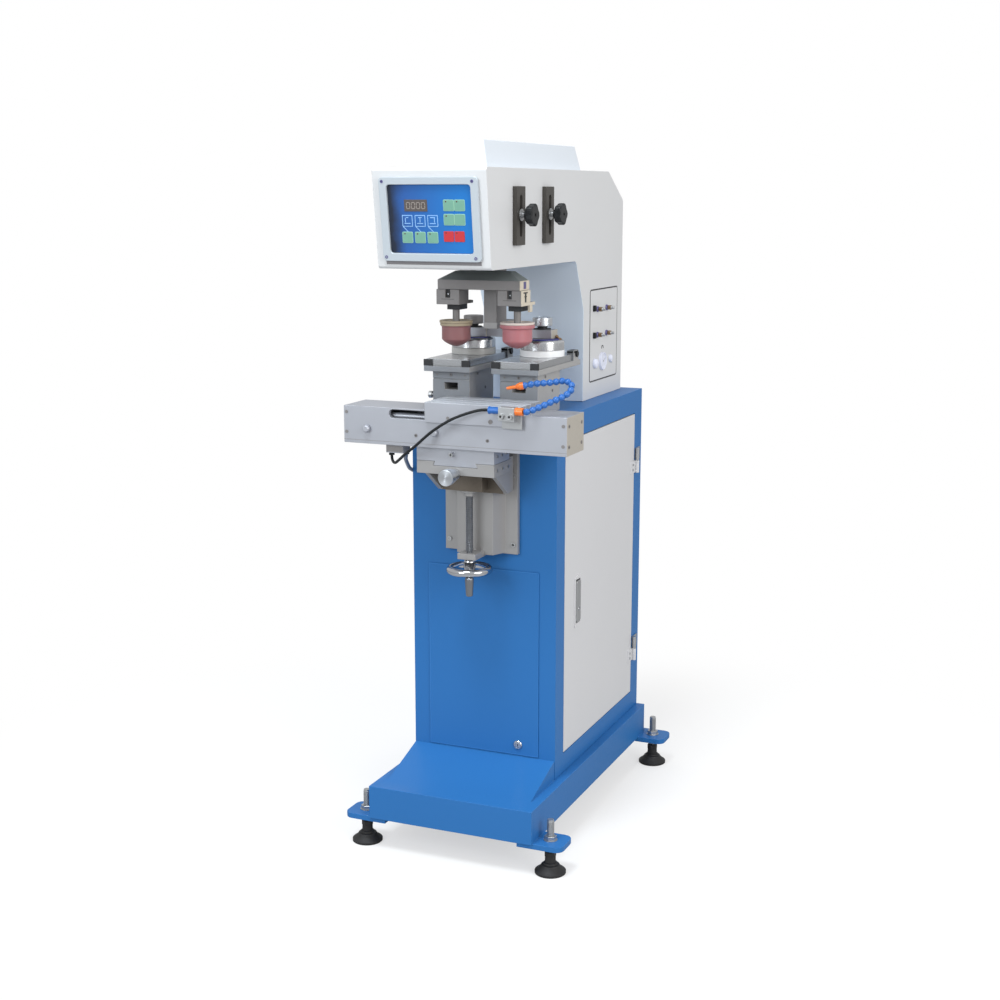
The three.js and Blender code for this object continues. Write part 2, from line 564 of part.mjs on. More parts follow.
// Slotted stop bars on the head's side, each with a sliding stud and a lobed clamp knob
const barBack = headHalf + seat;
const barFace = barBack + stopBar.depth;
const barBottom = headBottom + stopBar.bottom;
const studZ = headBottom + stopStud.height;
for (const [place, front] of [['front', stopBar.frontPlace], ['rear', stopBar.rearPlace]]) {
  const middle = front + stopBar.width / 2;
  const slotLow = barBottom + (stopBar.height - stopSlot.length) / 2;
  const plate = prism('x', rectangle(front, front + stopBar.width, barBottom, barBottom + stopBar.height,
    stopBar.edge), barBack, barFace);
  const slot = prism('x', rectangle(middle - stopSlot.width / 2, middle + stopSlot.width / 2, slotLow,
    slotLow + stopSlot.length, stopSlot.width / 2 - weld), barBack - overrun, barFace + overrun);
  add(`stop_bar_${place}`, cut(plate, slot), darkSteel);

  const slotStem = stopSlot.width / 2 - stopStud.slotFit;
  const washerFoot = barFace + seat;
  const washerTop = washerFoot + stopStud.washerDepth;
  const neckTop = washerTop + stopStud.neckLength;
  const pinTop = neckTop + stopStud.pinLength;
  add(`stop_stud_${place}`, spin('x', [[0, barBack + seat], [slotStem, barBack + seat], [slotStem,
    washerFoot],
    [stopStud.washer, washerFoot], [stopStud.washer, washerTop], [stopStud.neck, washerTop],
    [stopStud.neck, neckTop], [stopStud.pin, neckTop], [stopStud.pin, pinTop], [0, pinTop]],
  [0, middle, studZ], smallSteps), zinc);

  const knobFoot = neckTop + running;
  const lobeFoot = knobFoot + clampKnob.hubLength;
  const knobEnd = lobeFoot + clampKnob.thickness;
  const lobeOutline = Array.from({ length: clampKnob.lobes * 8 }, (unused, i) => {
    const turn = (i / (clampKnob.lobes * 8)) * Math.PI * 2;
    const reach = clampKnob.lobeReach - clampKnob.lobeDepth * (0.5 - 0.5 * Math.cos(turn * clampKnob.lobes));
    return [middle + reach * Math.sin(turn), studZ + reach * Math.cos(turn)];
  });
  const dome = spin('x', [[0, knobFoot], [clampKnob.hub, knobFoot], [clampKnob.hub, lobeFoot],
    [clampKnob.lobeReach, lobeFoot + clampKnob.capEdge], [clampKnob.lobeReach, knobEnd - clampKnob.capEdge],
    [clampKnob.lobeReach - clampKnob.capEdge * 2, knobEnd], [0, knobEnd]], [0, middle, studZ], roundSteps);
  const gripBody = dome.intersect(prism('x', lobeOutline.reverse(), knobFoot - overrun, knobEnd + overrun));
  const boreHole = bar('x', stopStud.pin + running, knobFoot - overrun, pinTop + running, [0, middle,
    studZ]);
  add(`stop_knob_${place}`, cut(gripBody, boreHole), blackPlastic);
}

// Air controls on the head's side
const sideFoot = headHalf + seat;
let valveCount = 0;
for (const height of Object.values(valveRows)) {
  for (const step of [0, 1]) {
    valveCount += 1;
    const collarEnd = sideFoot + valve.collarLength;
    const gripEnd = collarEnd + valve.gripLength;
    const tipEnd = gripEnd + valve.tipLength;
    add(`flow_valve_${valveCount}`, spin('x', [[0, sideFoot], [valve.collar, sideFoot], [valve.collar,
      collarEnd],
      [valve.grip, collarEnd], [valve.grip, gripEnd], [valve.tip, gripEnd], [valve.tip, tipEnd], [0,
        tipEnd]],
    [0, valve.firstY + step * valve.pitchY, headBottom + height], smallSteps), zinc);
  }
}
const regulatorEnd = sideFoot + regulator.depth;
add('regulator_knob', spin('x', [[0, sideFoot], [regulator.radius, sideFoot],
  [regulator.radius, regulatorEnd - regulator.edge], [regulator.radius - regulator.edge, regulatorEnd],
  [0, regulatorEnd]], [0, regulator.y, headBottom + regulator.height], smallSteps), whitePaint);

// Traverse guides inside the head: two rods held by cross plates on the arch roof
const railZ = roofZ + rail.height;
const railPlateZ = roofZ + head.sheet + seat;
function traverseRails() {
  const frontPlate = headSlot.front - rail.plateSpace - rail.plateDepth;
  const rearPlate = headSlot.rear + rail.plateSpace;
  let frame = null;
  for (const start of [frontPlate, rearPlate]) {
    const wall = block(-rail.plateHalf, rail.plateHalf, start, start + rail.plateDepth, railPlateZ,
      roofZ + rail.plateRise);
    frame = frame ? frame.add(wall) : wall;
  }
  for (const [, side] of sides) {
    frame = frame.add(bar('y', rail.radius, frontPlate, rearPlate + rail.plateDepth, [side * rail.side, 0,
      railZ]));
  }
  return frame;
}
add('traverse_rails', traverseRails(), steel);

// Traverse carriage: bored for the rails, the ram and its two guides
const traverseBottom = roofZ + traverse.bottom;
function traverseCarriage() {
  const body = block(-traverse.half, traverse.half, traverse.front, traverse.rear, traverseBottom,
    roofZ + traverse.top);
  const bores = [];
  for (const [, side] of sides) {
    bores.push(bar('y', rail.radius + running, traverse.front - overrun, traverse.rear + overrun,
      [side * rail.side, 0, railZ]));
    bores.push(bar('z', ram.guideRadius + running, traverseBottom - overrun, roofZ + traverse.top + overrun,
      [side * ram.guideSide, ram.y, 0]));
  }
  bores.push(bar('z', ram.radius + running, traverseBottom - overrun, roofZ + traverse.top + overrun,
    [0, ram.y, 0]));
  return cut(body, ...bores);
}
add('traverse_carriage', traverseCarriage(), aluminium);

// Pad beam: a bar with a tapered upper casting, carried by the ram and two guide rods
const beamBottom = plateTop + beam.bottom;
const beamTop = beamBottom + beam.height;
const beamCrown = beamTop + beam.topRise;
function padBeam() {
  const bottomBar = block(-beam.half, beam.half, beam.front, beam.rear, beamBottom, beamTop);
  const across = [[-beam.half, beamTop], [beam.half, beamTop], [beam.topHalf, beamCrown],
    [-beam.topHalf, beamCrown]];
  const along = [[beam.front, beamTop], [beam.rear, beamTop], [beam.rear, beamCrown], [beam.topFront,
    beamCrown]];
  const casting = prism('y', across, beam.front, beam.rear).intersect(prism('x', along, -beam.half,
    beam.half));
  const centre = bar('z', ram.radius, beamTop, beamCrown + ram.rise, [0, ram.y, 0]);
  const guides = sides.map(([, side]) => bar('z', ram.guideRadius, beamTop, beamCrown + ram.guideRise,
    [side * ram.guideSide, ram.y, 0]));
  return joined(bottomBar, casting, centre, ...guides);
}
add('pad_beam', padBeam(), darkSteel);

// Pad holders, stems and silicone pads
const holderTop = beamBottom - seat;
const holderBottom = holderTop - holder.height;
const flangeTop = holderBottom - seat;
const flangeBottom = flangeTop - flange.thickness;
const discTop = flangeBottom - stem.length;
const discBottom = discTop - stem.discHeight;
const padTop = discBottom - seat;
const straightEnd = padTop - pad.straight;
const padTip = straightEnd - pad.dome;
for (const [side, sign] of sides) {
  const x = (sign * padPitch) / 2;
  const size = padSizes[side];
  const slotFront = block(x - holder.slotWidth / 2, x + holder.slotWidth / 2, beam.front - overrun,
    beam.front + holder.slotDepth, holderTop - holder.slotHeight, holderTop + overrun);
  const body = block(x - holder.width / 2, x + holder.width / 2, beam.front, beam.rear, holderBottom,
    holderTop);
  const shelf = block(x - holder.width / 2, x + holder.width / 2, beam.front, holder.footRear, holderBottom,
    holderBottom + holder.foot);
  add(`pad_holder_${side}`, cut(joined(body, shelf), slotFront), darkSteel);

  const flangePlate = block(x - flange.half, x + flange.half, padPlace - flange.front,
    padPlace + flange.rear,
    flangeBottom, flangeTop);
  const rim = size.disc - stem.rimWidth;
  const shank = spin('z', [[0, discBottom], [size.disc, discBottom], [size.disc, discTop], [rim, discTop],
    [rim - stem.discRim, discTop - stem.discRim], [stem.radius, discTop - stem.discRim],
    [stem.radius, flangeBottom + stem.discRim], [0, flangeBottom + stem.discRim]], [x, padPlace, 0]);
  add(`pad_stem_${side}`, joined(flangePlate, shank), cream);

  const lipBottom = padTop - size.lipHeight;
  const domeSteps = 5;
  const domed = Array.from({ length: domeSteps }, (unused, i) => {
    const turn = ((i + 1) / (domeSteps + 1)) * (Math.PI / 2);
    return [pad.tip + (size.body - pad.tip) * Math.sin(turn) ** pad.domePower,
      straightEnd - (pad.dome - pad.tipFlat) * Math.cos(turn) ** pad.domePower];
  });
  add(`silicone_pad_${side}`, spin('z', [[0, padTip], [pad.tip, padTip + pad.tipFlat], ...domed,
    [size.body, straightEnd], [size.body, lipBottom], [size.lip, lipBottom], [size.lip, padTop], [0,
      padTop]],
  [x, padPlace, 0]), silicone);
}

// Cup arm: post from the traverse, foot bar to the back, cross bar and a clamp block over each cup
const ringBottom = plateTop + seat;
const ringTop = ringBottom + ring.height;
const cupBottom = ringTop + seat;
const cupTop = cupBottom + cup.height;
const armBottom = cupTop + cup.bossHeight + seat;
const armTop = armBottom + arm.barThickness;
const cupHalf = cupPitch / 2;
function cupArm() {
  const footBottom = armTop + armFoot.rise;
  const footTop = footBottom + armFoot.height;
  const post = block(-arm.postHalf, arm.postHalf, arm.postFront, arm.postRear, footBottom,
    traverseBottom - seat);
  const barFront = cup.y - arm.barHalfDepth;
  const barRear = cup.y + arm.barHalfDepth;
  const footBar = block(-arm.footHalf, arm.footHalf, arm.postFront, barRear, footBottom, footTop);
  const riser = block(-arm.footHalf, arm.footHalf, barFront, barRear, armBottom, footTop);
  const crossBar = block(-cupHalf, cupHalf, barFront, barRear, armBottom, armTop);
  let frame = joined(post, footBar, riser, crossBar);
  for (const [, sign] of sides) {
    const x = sign * cupHalf;
    const ends = [x - sign * clampBlock.inboard, x + sign * clampBlock.outboard].sort((a, b) => a - b);
    frame = frame.add(block(...ends, cup.y - clampBlock.halfDepth, cup.y + clampBlock.halfDepth, armBottom,
      armTop));
    frame = frame.subtract(bar('z', cupKnob.screw + running, armBottom - overrun, armTop + overrun,
      [x, cup.y, 0]));
  }
  return frame;
}
add('cup_arm', cupArm(), steel);

for (const [side, sign] of sides) {
  const x = sign * cupHalf;
  const inside = cup.radius - cup.wall;
  const roof = cupTop - cup.roof;
  add(`ink_cup_${side}`, spin('z', [[inside, cupBottom], [cup.radius, cupBottom],
    [cup.radius, cupTop - cup.shoulder], [cup.topRadius, cupTop], [cup.bossRadius, cupTop],
    [cup.bossRadius, cupTop + cup.bossHeight], [0, cupTop + cup.bossHeight], [0, roof], [inside, roof],
    [inside, cupBottom]], [x, cup.y, 0]), chromed);
  add(`cup_ring_${side}`, spin('z', [[ring.inner, ringBottom], [ring.radius, ringBottom],
    [ring.radius, ringTop - ring.edge], [ring.radius - ring.edge, ringTop], [ring.inner, ringTop],
    [ring.inner, ringBottom]], [x, cup.y, 0]), ceramic);
  const neckBottom = armTop + seat;
  const knobBottom = neckBottom + cupKnob.neckHeight;
  const knobTop = knobBottom + cupKnob.height;
  const screwEnd = neckBottom - cupKnob.screwReach;
  const knob = spin('z', [[0, screwEnd], [cupKnob.screw, screwEnd], [cupKnob.screw, neckBottom],
    [cupKnob.neck, neckBottom], [cupKnob.neck, knobBottom], [cupKnob.radius, knobBottom],
    [cupKnob.radius, knobTop - cupKnob.edge], [cupKnob.radius - cupKnob.edge, knobTop], [0, knobTop]],
  [x, cup.y, 0], 36);
  add(`cup_knob_${side}`, knob, chromed);
}

// Etched plates on their trays and stands
for (const [side, sign] of sides) {
  const x = (sign * platePitch) / 2;
  add(`cliche_plate_${side}`, block(x - plate.half, x + plate.half, plate.front, plate.rear, trayTop + seat,
    plateTop), steel);
  const standBottom = cabinetTop + seat;
  const half = stand.width / 2;
  const column = block(x - half, x + half, stand.front, stand.rear, standBottom, standTop);
  const windowCut = block(x - stand.windowHalf, x + stand.windowHalf, stand.front - overrun,
    stand.front + standDetail.windowDepth, standBottom + stand.windowBottom, standBottom + stand.windowTop);
  const seamZ = standBottom + standDetail.seam;
  const seamCut = block(x - half - overrun, x + half + overrun, stand.front - overrun,
    stand.front + standDetail.seamDepth, seamZ, seamZ + standDetail.seamHeight);
  const shelf = block(x - tray.half, x + tray.half, tray.front, tray.rear, standTop, trayTop);
  let holderBody = joined(cut(column, windowCut, seamCut), shelf);
  for (const [, edgeSide] of sides) {
    const outerEdge = x + edgeSide * tray.half;
    const innerEdge = outerEdge - edgeSide * tray.cornerPost;
    const [low, high] = [outerEdge, innerEdge].sort((a, b) => a - b);
    holderBody = holderBody.add(block(low, high, tray.front, plate.front - seat, standTop,
      trayTop + tray.postRise));
  }
  const clampOuter = x + tray.half;
  const clampInner = clampOuter - rearClamp.width;
  const clampPost = block(x + plate.half + seat, clampOuter, rearClamp.front, rearClamp.rear, standTop,
    plateTop + rearClamp.rise);
  const clampJaw = block(clampInner, clampOuter, rearClamp.front, rearClamp.rear, plateTop + seat,
    plateTop + rearClamp.rise);
  add(`plate_stand_${side}`, joined(holderBody, clampPost, clampJaw), aluminium);
}

// Vertical slide plate with its tapered way and the bracket of the lead screw
const wayOutline = [[-slide.wayHalf, -slide.wayFront], [slide.wayHalf, -slide.wayFront],
  [slide.wayBackHalf, -slide.plate - seat], [slide.wayBackHalf, -slide.plate / 2],
  [-slide.wayBackHalf, -slide.plate / 2], [-slide.wayBackHalf, -slide.plate - seat]];
function slidePlate() {
  const back = -seat;
  const front = back - slide.plate;
  const mount = block(-slide.width / 2, slide.width / 2, front, back, slide.bottom, slide.top);
  const way = prism('z', wayOutline, slide.bottom + slide.wayRaise, slide.top);
  const bearing = block(-bracket.half, bracket.half, -bracket.front, back, bracket.bottom,
    bracket.bottom + bracket.height);
  const bore = bar('z', screw.journal + running, bracket.bottom - overrun,
    bracket.bottom + bracket.height + overrun,
    [0, -screw.out, 0]);
  return cut(joined(mount, way, bearing), bore);
}
add('z_slide_plate', slidePlate(), steel);

const screwFoot = bracket.bottom + bracket.height + running;
add('lead_screw', spin('z', [[0, screw.journalEnd], [screw.journal, screw.journalEnd], [screw.journal,
  screwFoot],
  [screw.radius, screwFoot], [screw.radius, screw.top - bolt.corner * 2], [screw.radius - bolt.corner * 2,
    screw.top], [0, screw.top]], [0, -screw.out, 0], smallSteps), darkSteel);

// Dished handwheel: hub, three falling spokes and a round rim
const wheelReach = wheel.outer - wheel.tube;
const gripTurn = THREE.MathUtils.degToRad(grip.angle);
const gripX = wheelReach * Math.cos(gripTurn);
const gripY = -screw.out + wheelReach * Math.sin(gripTurn);
function handwheel() {
  const rimProfile = Array.from({ length: 13 }, (unused, i) => {
    const turn = (i / 12) * Math.PI * 2;
    return [wheelReach + wheel.tube * Math.cos(turn), wheel.height + wheel.tube * Math.sin(turn)];
  });
  const centre = [0, -screw.out, 0];
  let body = joined(spin('z', rimProfile, centre, 40), spin('z', [[0, wheel.hubBottom], [wheel.hub,
    wheel.hubBottom],
    [wheel.hub, wheel.hubTop - wheel.tube], [wheel.hub - bolt.corner * 3, wheel.hubTop], [0, wheel.hubTop]],
  centre, roundSteps));
  for (let i = 0; i < wheel.spokes; i += 1) {
    const fall = [[0, wheelSpoke.hubBottom], [wheelReach, wheelSpoke.rimBottom], [wheelReach,
      wheelSpoke.rimTop],
      [0, wheelSpoke.hubTop]];
    const spoke = prism('y', fall, -wheel.spokeWidth / 2, wheel.spokeWidth / 2)
      .rotate([0, 0, grip.angle + (i * 360) / wheel.spokes])
      .translate([0, -screw.out, 0]);
    body = body.add(spoke);
  }
  const shaftBore = bar('z', screw.journal + seat, wheel.hubBottom - overrun, wheel.hubTop + overrun,
    centre);
  const pinBore = bar('z', grip.pin + running, wheel.height - wheel.tube - overrun,
    wheel.height - wheel.tube + grip.pinDepth + running, [gripX, gripY, 0]);
  return cut(body, shaftBore, pinBore);
}
add('handwheel', handwheel(), chromed);

// Revolving handle hanging from the rim
const gripTop = wheel.height - wheel.tube - running;
add('wheel_handle', spin('z', [[0, gripTop - grip.length], [grip.endRadius - grip.edge,
  gripTop - grip.length],
  [grip.endRadius, gripTop - grip.length + grip.edge], [grip.topRadius, gripTop - grip.edge],
  [grip.topRadius - grip.edge, gripTop], [grip.pin, gripTop], [grip.pin, gripTop + grip.pinDepth],
  [0, gripTop + grip.pinDepth]], [gripX, gripY, 0], smallSteps), steel);

// Knee: lower dovetail plate, nut block, saddle round the way and two gussets
const kneeTop = knee.bottom + knee.thickness;
const tongueOutline = [[-dovetail.rootHalf, kneeTop - dovetail.depth], [dovetail.rootHalf,
  kneeTop - dovetail.depth],
  [dovetail.mouthHalf, kneeTop + seat], [-dovetail.mouthHalf, kneeTop + seat]];
function kneeBracket() {
  const table = block(-knee.half, knee.half, -knee.front, -knee.saddleFront + overrun, knee.bottom,
    kneeTop - seat);
  const nut = block(-knee.nutHalf, knee.nutHalf, -bracket.front, -knee.saddleFront + overrun,
    knee.nutBottom,
    knee.bottom + overrun);
  const saddle = block(-knee.saddleHalf, knee.saddleHalf, -knee.saddleFront, -kneeWeb.saddleRear,
    kneeWeb.bottom,
    kneeTop - seat);
  const webs = sides.map(([, side]) => {
    const [low, high] = [side * kneeWeb.inner, side * kneeWeb.outer].sort((a, b) => a - b);
    return prism('x', [[-kneeWeb.front, knee.bottom + overrun], [-knee.saddleFront + overrun,
      kneeWeb.bottom],
      [-knee.saddleFront + overrun, knee.bottom + overrun]], low, high);
  });
  const channel = prism('z', inset(wayOutline, -running), kneeWeb.bottom - overrun, kneeTop + overrun);
  const groove = prism('y', inset(tongueOutline, -running), -knee.front - overrun,
    -knee.saddleFront + overrun * 3);
  const screwHole = bar('z', screw.radius + running, knee.nutBottom - overrun, kneeTop + overrun,
    [0, -screw.out, 0]);
  const crossBore = bar('y', crossKnob.shaft + running, -knee.front - overrun,
    -crossKnobShape.shaftEnd + running,
    [0, 0, crossKnob.height]);
  const bearing = bar('y', crossKnobShape.bearing, -knee.front, -bracket.front + overrun, [0, 0,
    crossKnob.height]);
  return cut(joined(table, nut, saddle, bearing, ...webs), channel, groove, screwHole, crossBore);
}
add('knee_bracket', kneeBracket(), steel);

// Cross slide knob with its collar and screw end
const crossCentre = [0, 0, crossKnob.height];
const collarFront = -crossKnob.front + crossKnob.length;
add('cross_slide_knob', spin('y', [[0, -crossKnob.front], [crossKnob.radius - crossKnobShape.edge,
  -crossKnob.front],
  [crossKnob.radius, -crossKnob.front + crossKnobShape.edge], [crossKnob.radius, collarFront],
  [crossKnob.collar, collarFront], [crossKnob.collar, -knee.front - running - seat],
  [crossKnob.shaft, -knee.front - running - seat], [crossKnob.shaft, -crossKnobShape.shaftEnd],
  [0, -crossKnobShape.shaftEnd]], crossCentre, roundSteps), aluminium);

// Upper dovetail slide under the shuttle housing
const upperFoot = kneeTop;
function upperDovetail() {
  const body = block(-knee.half, knee.half, -knee.front, -upperSlide.rear, upperFoot, tableZ - seat);
  const tongue = prism('y', tongueOutline, -knee.front, -upperSlide.rear);
  const relief = block(-upperSlide.reliefHalf, upperSlide.reliefHalf, -upperSlide.reliefFront,
    -upperSlide.reliefRear, upperFoot - dovetail.depth - overrun, upperFoot + upperSlide.reliefDepth);
  const pinHead = bar('y', clampPin.radius, -knee.front - clampPin.length, -knee.front + overrun,
    [clampPin.x, 0, upperFoot + clampPin.height]);
  return cut(joined(body, tongue, pinHead), relief);
}
add('dovetail_slide', upperDovetail(), steel);

// Shuttle housing: a long hollow case with a front slot, guide rod, stop pins and the valve block below
function shuttleHousing() {
  const outer = block(-housing.half, housing.half, -housing.front, -housing.rear, tableZ, tableTop);
  const hollow = block(-housing.half + housing.wallEnd, housing.half - housing.wallEnd,
    -housing.front + housing.wall, -housing.rear - housing.wall, tableZ + housing.floor, slotTop);
  const opening = prism('y', rectangle(-housingSlot.half, housingSlot.half, slotTop - housingSlot.height,
    slotTop,
    housingSlot.height / 2 - weld), -housing.front - overrun, -housing.front + housing.wall + overrun);
  const rod = bar('x', guideRod.radius, -housing.half + housing.wallEnd / 2,
    housing.half - housing.wallEnd / 2,
    [0, -guideRod.out, tableZ + guideRod.height]);
  const pins = [stopPin.leftX, stopPin.rightX].map((x) => spin('y', [[0, -housing.front - stopPin.length
    - stopPin.neckLength], [stopPin.radius - bolt.corner * 2, -housing.front - stopPin.length
    - stopPin.neckLength], [stopPin.radius, -housing.front - stopPin.length], [stopPin.radius,
    -housing.front - stopPin.neckLength], [stopPin.neck, -housing.front - stopPin.neckLength],
  [stopPin.neck, -housing.front + overrun], [0, -housing.front + overrun]], [x, 0, tableZ + stopPin.height],
  smallSteps));
  const valves = block(hoseBlock.left, hoseBlock.right, -hoseBlock.front, -hoseBlock.rear,
    tableZ - hoseBlock.depth, tableZ + overrun);
  return joined(cut(outer, hollow, opening), rod, valves, ...pins);
}
add('shuttle_housing', shuttleHousing(), aluminium);

// Shuttle carriage: grooved table, front skirt, neck through the slot and a bearing block on the rod
const shuttleBottom = tableTop + shuttle.lift;
function shuttleCarriage() {
  const table = block(shuttle.left, shuttle.right, -shuttle.front, -shuttle.rear, shuttleBottom,
    shuttleTop);
  const skirt = block(shuttle.left, shuttle.right, -shuttle.front, -shuttle.front + shuttle.skirt,
    shuttleTop - shuttle.skirtDepth, shuttleTop);
  const neckTop = slotTop - running * 2;
  const neck = block(shuttleNeck.left, shuttleNeck.right, -shuttle.front, -shuttleNeck.blockRear,
    neckTop - shuttleNeck.thickness, neckTop);
  const bearing = block(shuttleNeck.left, shuttleNeck.right, -shuttleNeck.blockFront,
    -shuttleNeck.blockRear,
    neckTop - shuttleNeck.blockDepth, neckTop);
  const rodBore = bar('x', guideRod.radius + running, shuttleNeck.left - overrun,
    shuttleNeck.right + overrun,
    [0, -guideRod.out, tableZ + guideRod.height]);
  let body = cut(joined(table, skirt, neck, bearing), rodBore);
  for (let i = 0; i < tableGroove.count; i += 1) {
    const y = -tableGroove.first + i * tableGroove.pitch;
    body = body.subtract(block(shuttle.left - overrun, shuttle.right + overrun, y - tableGroove.width / 2,
      y + tableGroove.width / 2, shuttleTop - tableGroove.depth, shuttleTop + overrun));
  }
  return body;
}
add('shuttle_carriage', shuttleCarriage(), aluminium);

// Air-blow manifold: bracket, block, two bolts and the two hose fittings
const bracketBack = -shuttle.front - seat;
const manifoldBack = bracketBack - manifold.bracketSheet;
const manifoldFront = manifoldBack - manifold.depth;
const fittingZ = tableZ + fitting.height;
function airManifold() {
  const bracketPlate = block(manifold.left, manifold.bracketRight, manifoldBack, bracketBack,
    tableZ + manifold.bottom - manifold.bracketDrop, tableZ + manifold.top - bolt.inset);
  const body = block(manifold.left, manifold.right, manifoldFront, manifoldBack + bolt.corner,
    tableZ + manifold.bottom, tableZ + manifold.top);
  const blueEnd = bar('x', fitting.blueRadius, manifold.left - fitting.blueLength, manifold.left + overrun,
    [0, -fitting.out, fittingZ]);
  const orangeEnd = bar('x', fitting.orangeRadius, manifold.right - overrun,
    manifold.right + fitting.orangeLength,
    [0, -fitting.out, fittingZ]);
  const heads = [manifold.left + bolt.inset, manifold.right - bolt.inset].map((x) => bar('y',
    fitting.boltRadius,
    manifoldFront - bolt.length, manifoldFront + overrun, [x, 0, tableZ + bolt.height]));
  return joined(bracketPlate, body, blueEnd, orangeEnd, ...heads);
}
add('air_manifold', airManifold(), aluminium);

// A hollow tube whose radius follows [share of the curve, radius] stations, closed by flat ring ends.
const curveSlots = 360;
function hollowTube(curve, stations, bore, boreShares) {
  const positions = [];
  const faces = [];
  const frames = curve.computeFrenetFrames(curveSlots, false);
  const ringAt = (share, radius) => {
    const slot = Math.round(share * curveSlots);
    const first = positions.length / 3;
    for (let k = 0; k < ball.sides; k += 1) {
      const turn = (k / ball.sides) * Math.PI * 2;
      const spot = curve.getPointAt(share)
        .addScaledVector(frames.normals[slot], radius * Math.cos(turn))
        .addScaledVector(frames.binormals[slot], radius * Math.sin(turn));
      positions.push(...spot.toArray());
    }
    return first;
  };
  const loop = [...stations.map(([share, radius]) => ringAt(share, radius)),
    ...boreShares.map((share) => ringAt(share, bore)).reverse()];
  loop.forEach((from, i) => {
    const to = loop[(i + 1) % loop.length];
    for (let k = 0; k < ball.sides; k += 1) {
      const next = (k + 1) % ball.sides;
      faces.push(from + k, from + next, to + next, from + k, to + next, to + k);
    }
  });
  const geometry = new THREE.BufferGeometry();
  geometry.setAttribute('position', new THREE.Float32BufferAttribute(positions, 3));
  geometry.setIndex(faces);
  return solidOf(geometry);
}

const throughPoints = (points) => new THREE.CatmullRomCurve3(points.map((spot) => new THREE.Vector3(...spot)));

// A run of hose balls between two shares of the route: each swells from its waist and back
const hoseCurve = throughPoints(hoseRoute);
function ballRun(from, to, count, bore) {
  const pitch = (to - from) / count;
  const stations = [];
  const boreShares = [];
  for (let i = 0; i < count; i += 1) {
    for (const [share, radius] of ballShape) stations.push([from + (i + share) * pitch, radius]);
    boreShares.push(from + i * pitch);
  }
  return hollowTube(hoseCurve, [...stations, [to, ball.waist]], bore, [...boreShares, to]);
}
const gapShare = ball.gap / 2 / hoseCurve.getLength();
add('air_hose_lower', ballRun(0, 0.5 - gapShare, ball.count / 2, ball.bore), hoseBlue);

function upperHose() {
  const end = hoseCurve.getPointAt(1);
  const heading = hoseCurve.getTangentAt(1);
  const nozzleLine = new THREE.LineCurve3(end.clone().addScaledVector(heading, -nozzle.collarLength / 2),
    end.clone().addScaledVector(heading, nozzle.length));
  const collarShare = nozzle.collarLength / nozzle.length;
  const cone = hollowTube(nozzleLine, [[0, nozzle.collar], [collarShare, nozzle.collar], [collarShare,
    nozzle.radius],
    [1, nozzle.tip]], nozzle.bore, [0, 1]);
  return joined(ballRun(0.5 + gapShare, 1, ball.count / 2, nozzle.bore), cone);
}
add('air_hose_upper', upperHose(), hoseBlue);

// Black air tube, a round cord along its route
const tubeShape = new THREE.Shape(Array.from({ length: tubeSides }, (unused, i) => {
  const turn = (i / tubeSides) * Math.PI * 2;
  return new THREE.Vector2(tubeRadius * Math.cos(turn), tubeRadius * Math.sin(turn));
}));
add('air_tube', solidOf(new THREE.ExtrudeGeometry(tubeShape, { steps: tubeSteps, bevelEnabled: false,
  extrudePath: throughPoints(tubeRoute) })), blackPlastic);

export default machine;
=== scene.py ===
import json
from math import atan2, cos, pi, radians, sin

import bmesh
import bpy
from mathutils import Matrix, Vector


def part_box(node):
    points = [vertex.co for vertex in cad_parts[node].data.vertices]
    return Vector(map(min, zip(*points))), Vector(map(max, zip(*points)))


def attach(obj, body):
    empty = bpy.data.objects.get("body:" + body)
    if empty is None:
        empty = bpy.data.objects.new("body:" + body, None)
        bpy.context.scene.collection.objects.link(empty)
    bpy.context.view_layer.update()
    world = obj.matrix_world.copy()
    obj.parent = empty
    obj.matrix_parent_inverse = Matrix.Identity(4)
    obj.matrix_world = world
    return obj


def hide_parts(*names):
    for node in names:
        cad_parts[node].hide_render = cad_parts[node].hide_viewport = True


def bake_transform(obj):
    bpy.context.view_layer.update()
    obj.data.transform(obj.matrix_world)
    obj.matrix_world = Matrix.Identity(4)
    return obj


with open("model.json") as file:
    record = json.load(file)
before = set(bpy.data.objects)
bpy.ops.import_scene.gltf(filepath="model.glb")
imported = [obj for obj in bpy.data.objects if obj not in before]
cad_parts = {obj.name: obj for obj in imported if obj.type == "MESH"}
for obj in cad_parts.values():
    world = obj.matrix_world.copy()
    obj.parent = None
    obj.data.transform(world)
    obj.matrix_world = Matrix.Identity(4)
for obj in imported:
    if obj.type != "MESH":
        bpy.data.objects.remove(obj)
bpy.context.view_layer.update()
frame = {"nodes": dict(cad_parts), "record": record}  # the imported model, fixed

scene = bpy.context.scene
mm = 0.001
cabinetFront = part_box("cabinet_shell")[0].y
bodyOf = {node: body for body, nodes in frame["record"]["behaviour"]["bodies"].items() for node in nodes}
slotOf = {row["node"]: row["material_slot"] for row in frame["record"]["subparts"]}
axisX, axisY, axisZ = Vector((1, 0, 0)), Vector((0, 1, 0)), Vector((0, 0, 1))


# places in millimetres: x from the middle, y from the cabinet's front sheet, z from the floor
def at(x, y, z):
    return Vector((x * mm, y * mm + cabinetFront, z * mm))


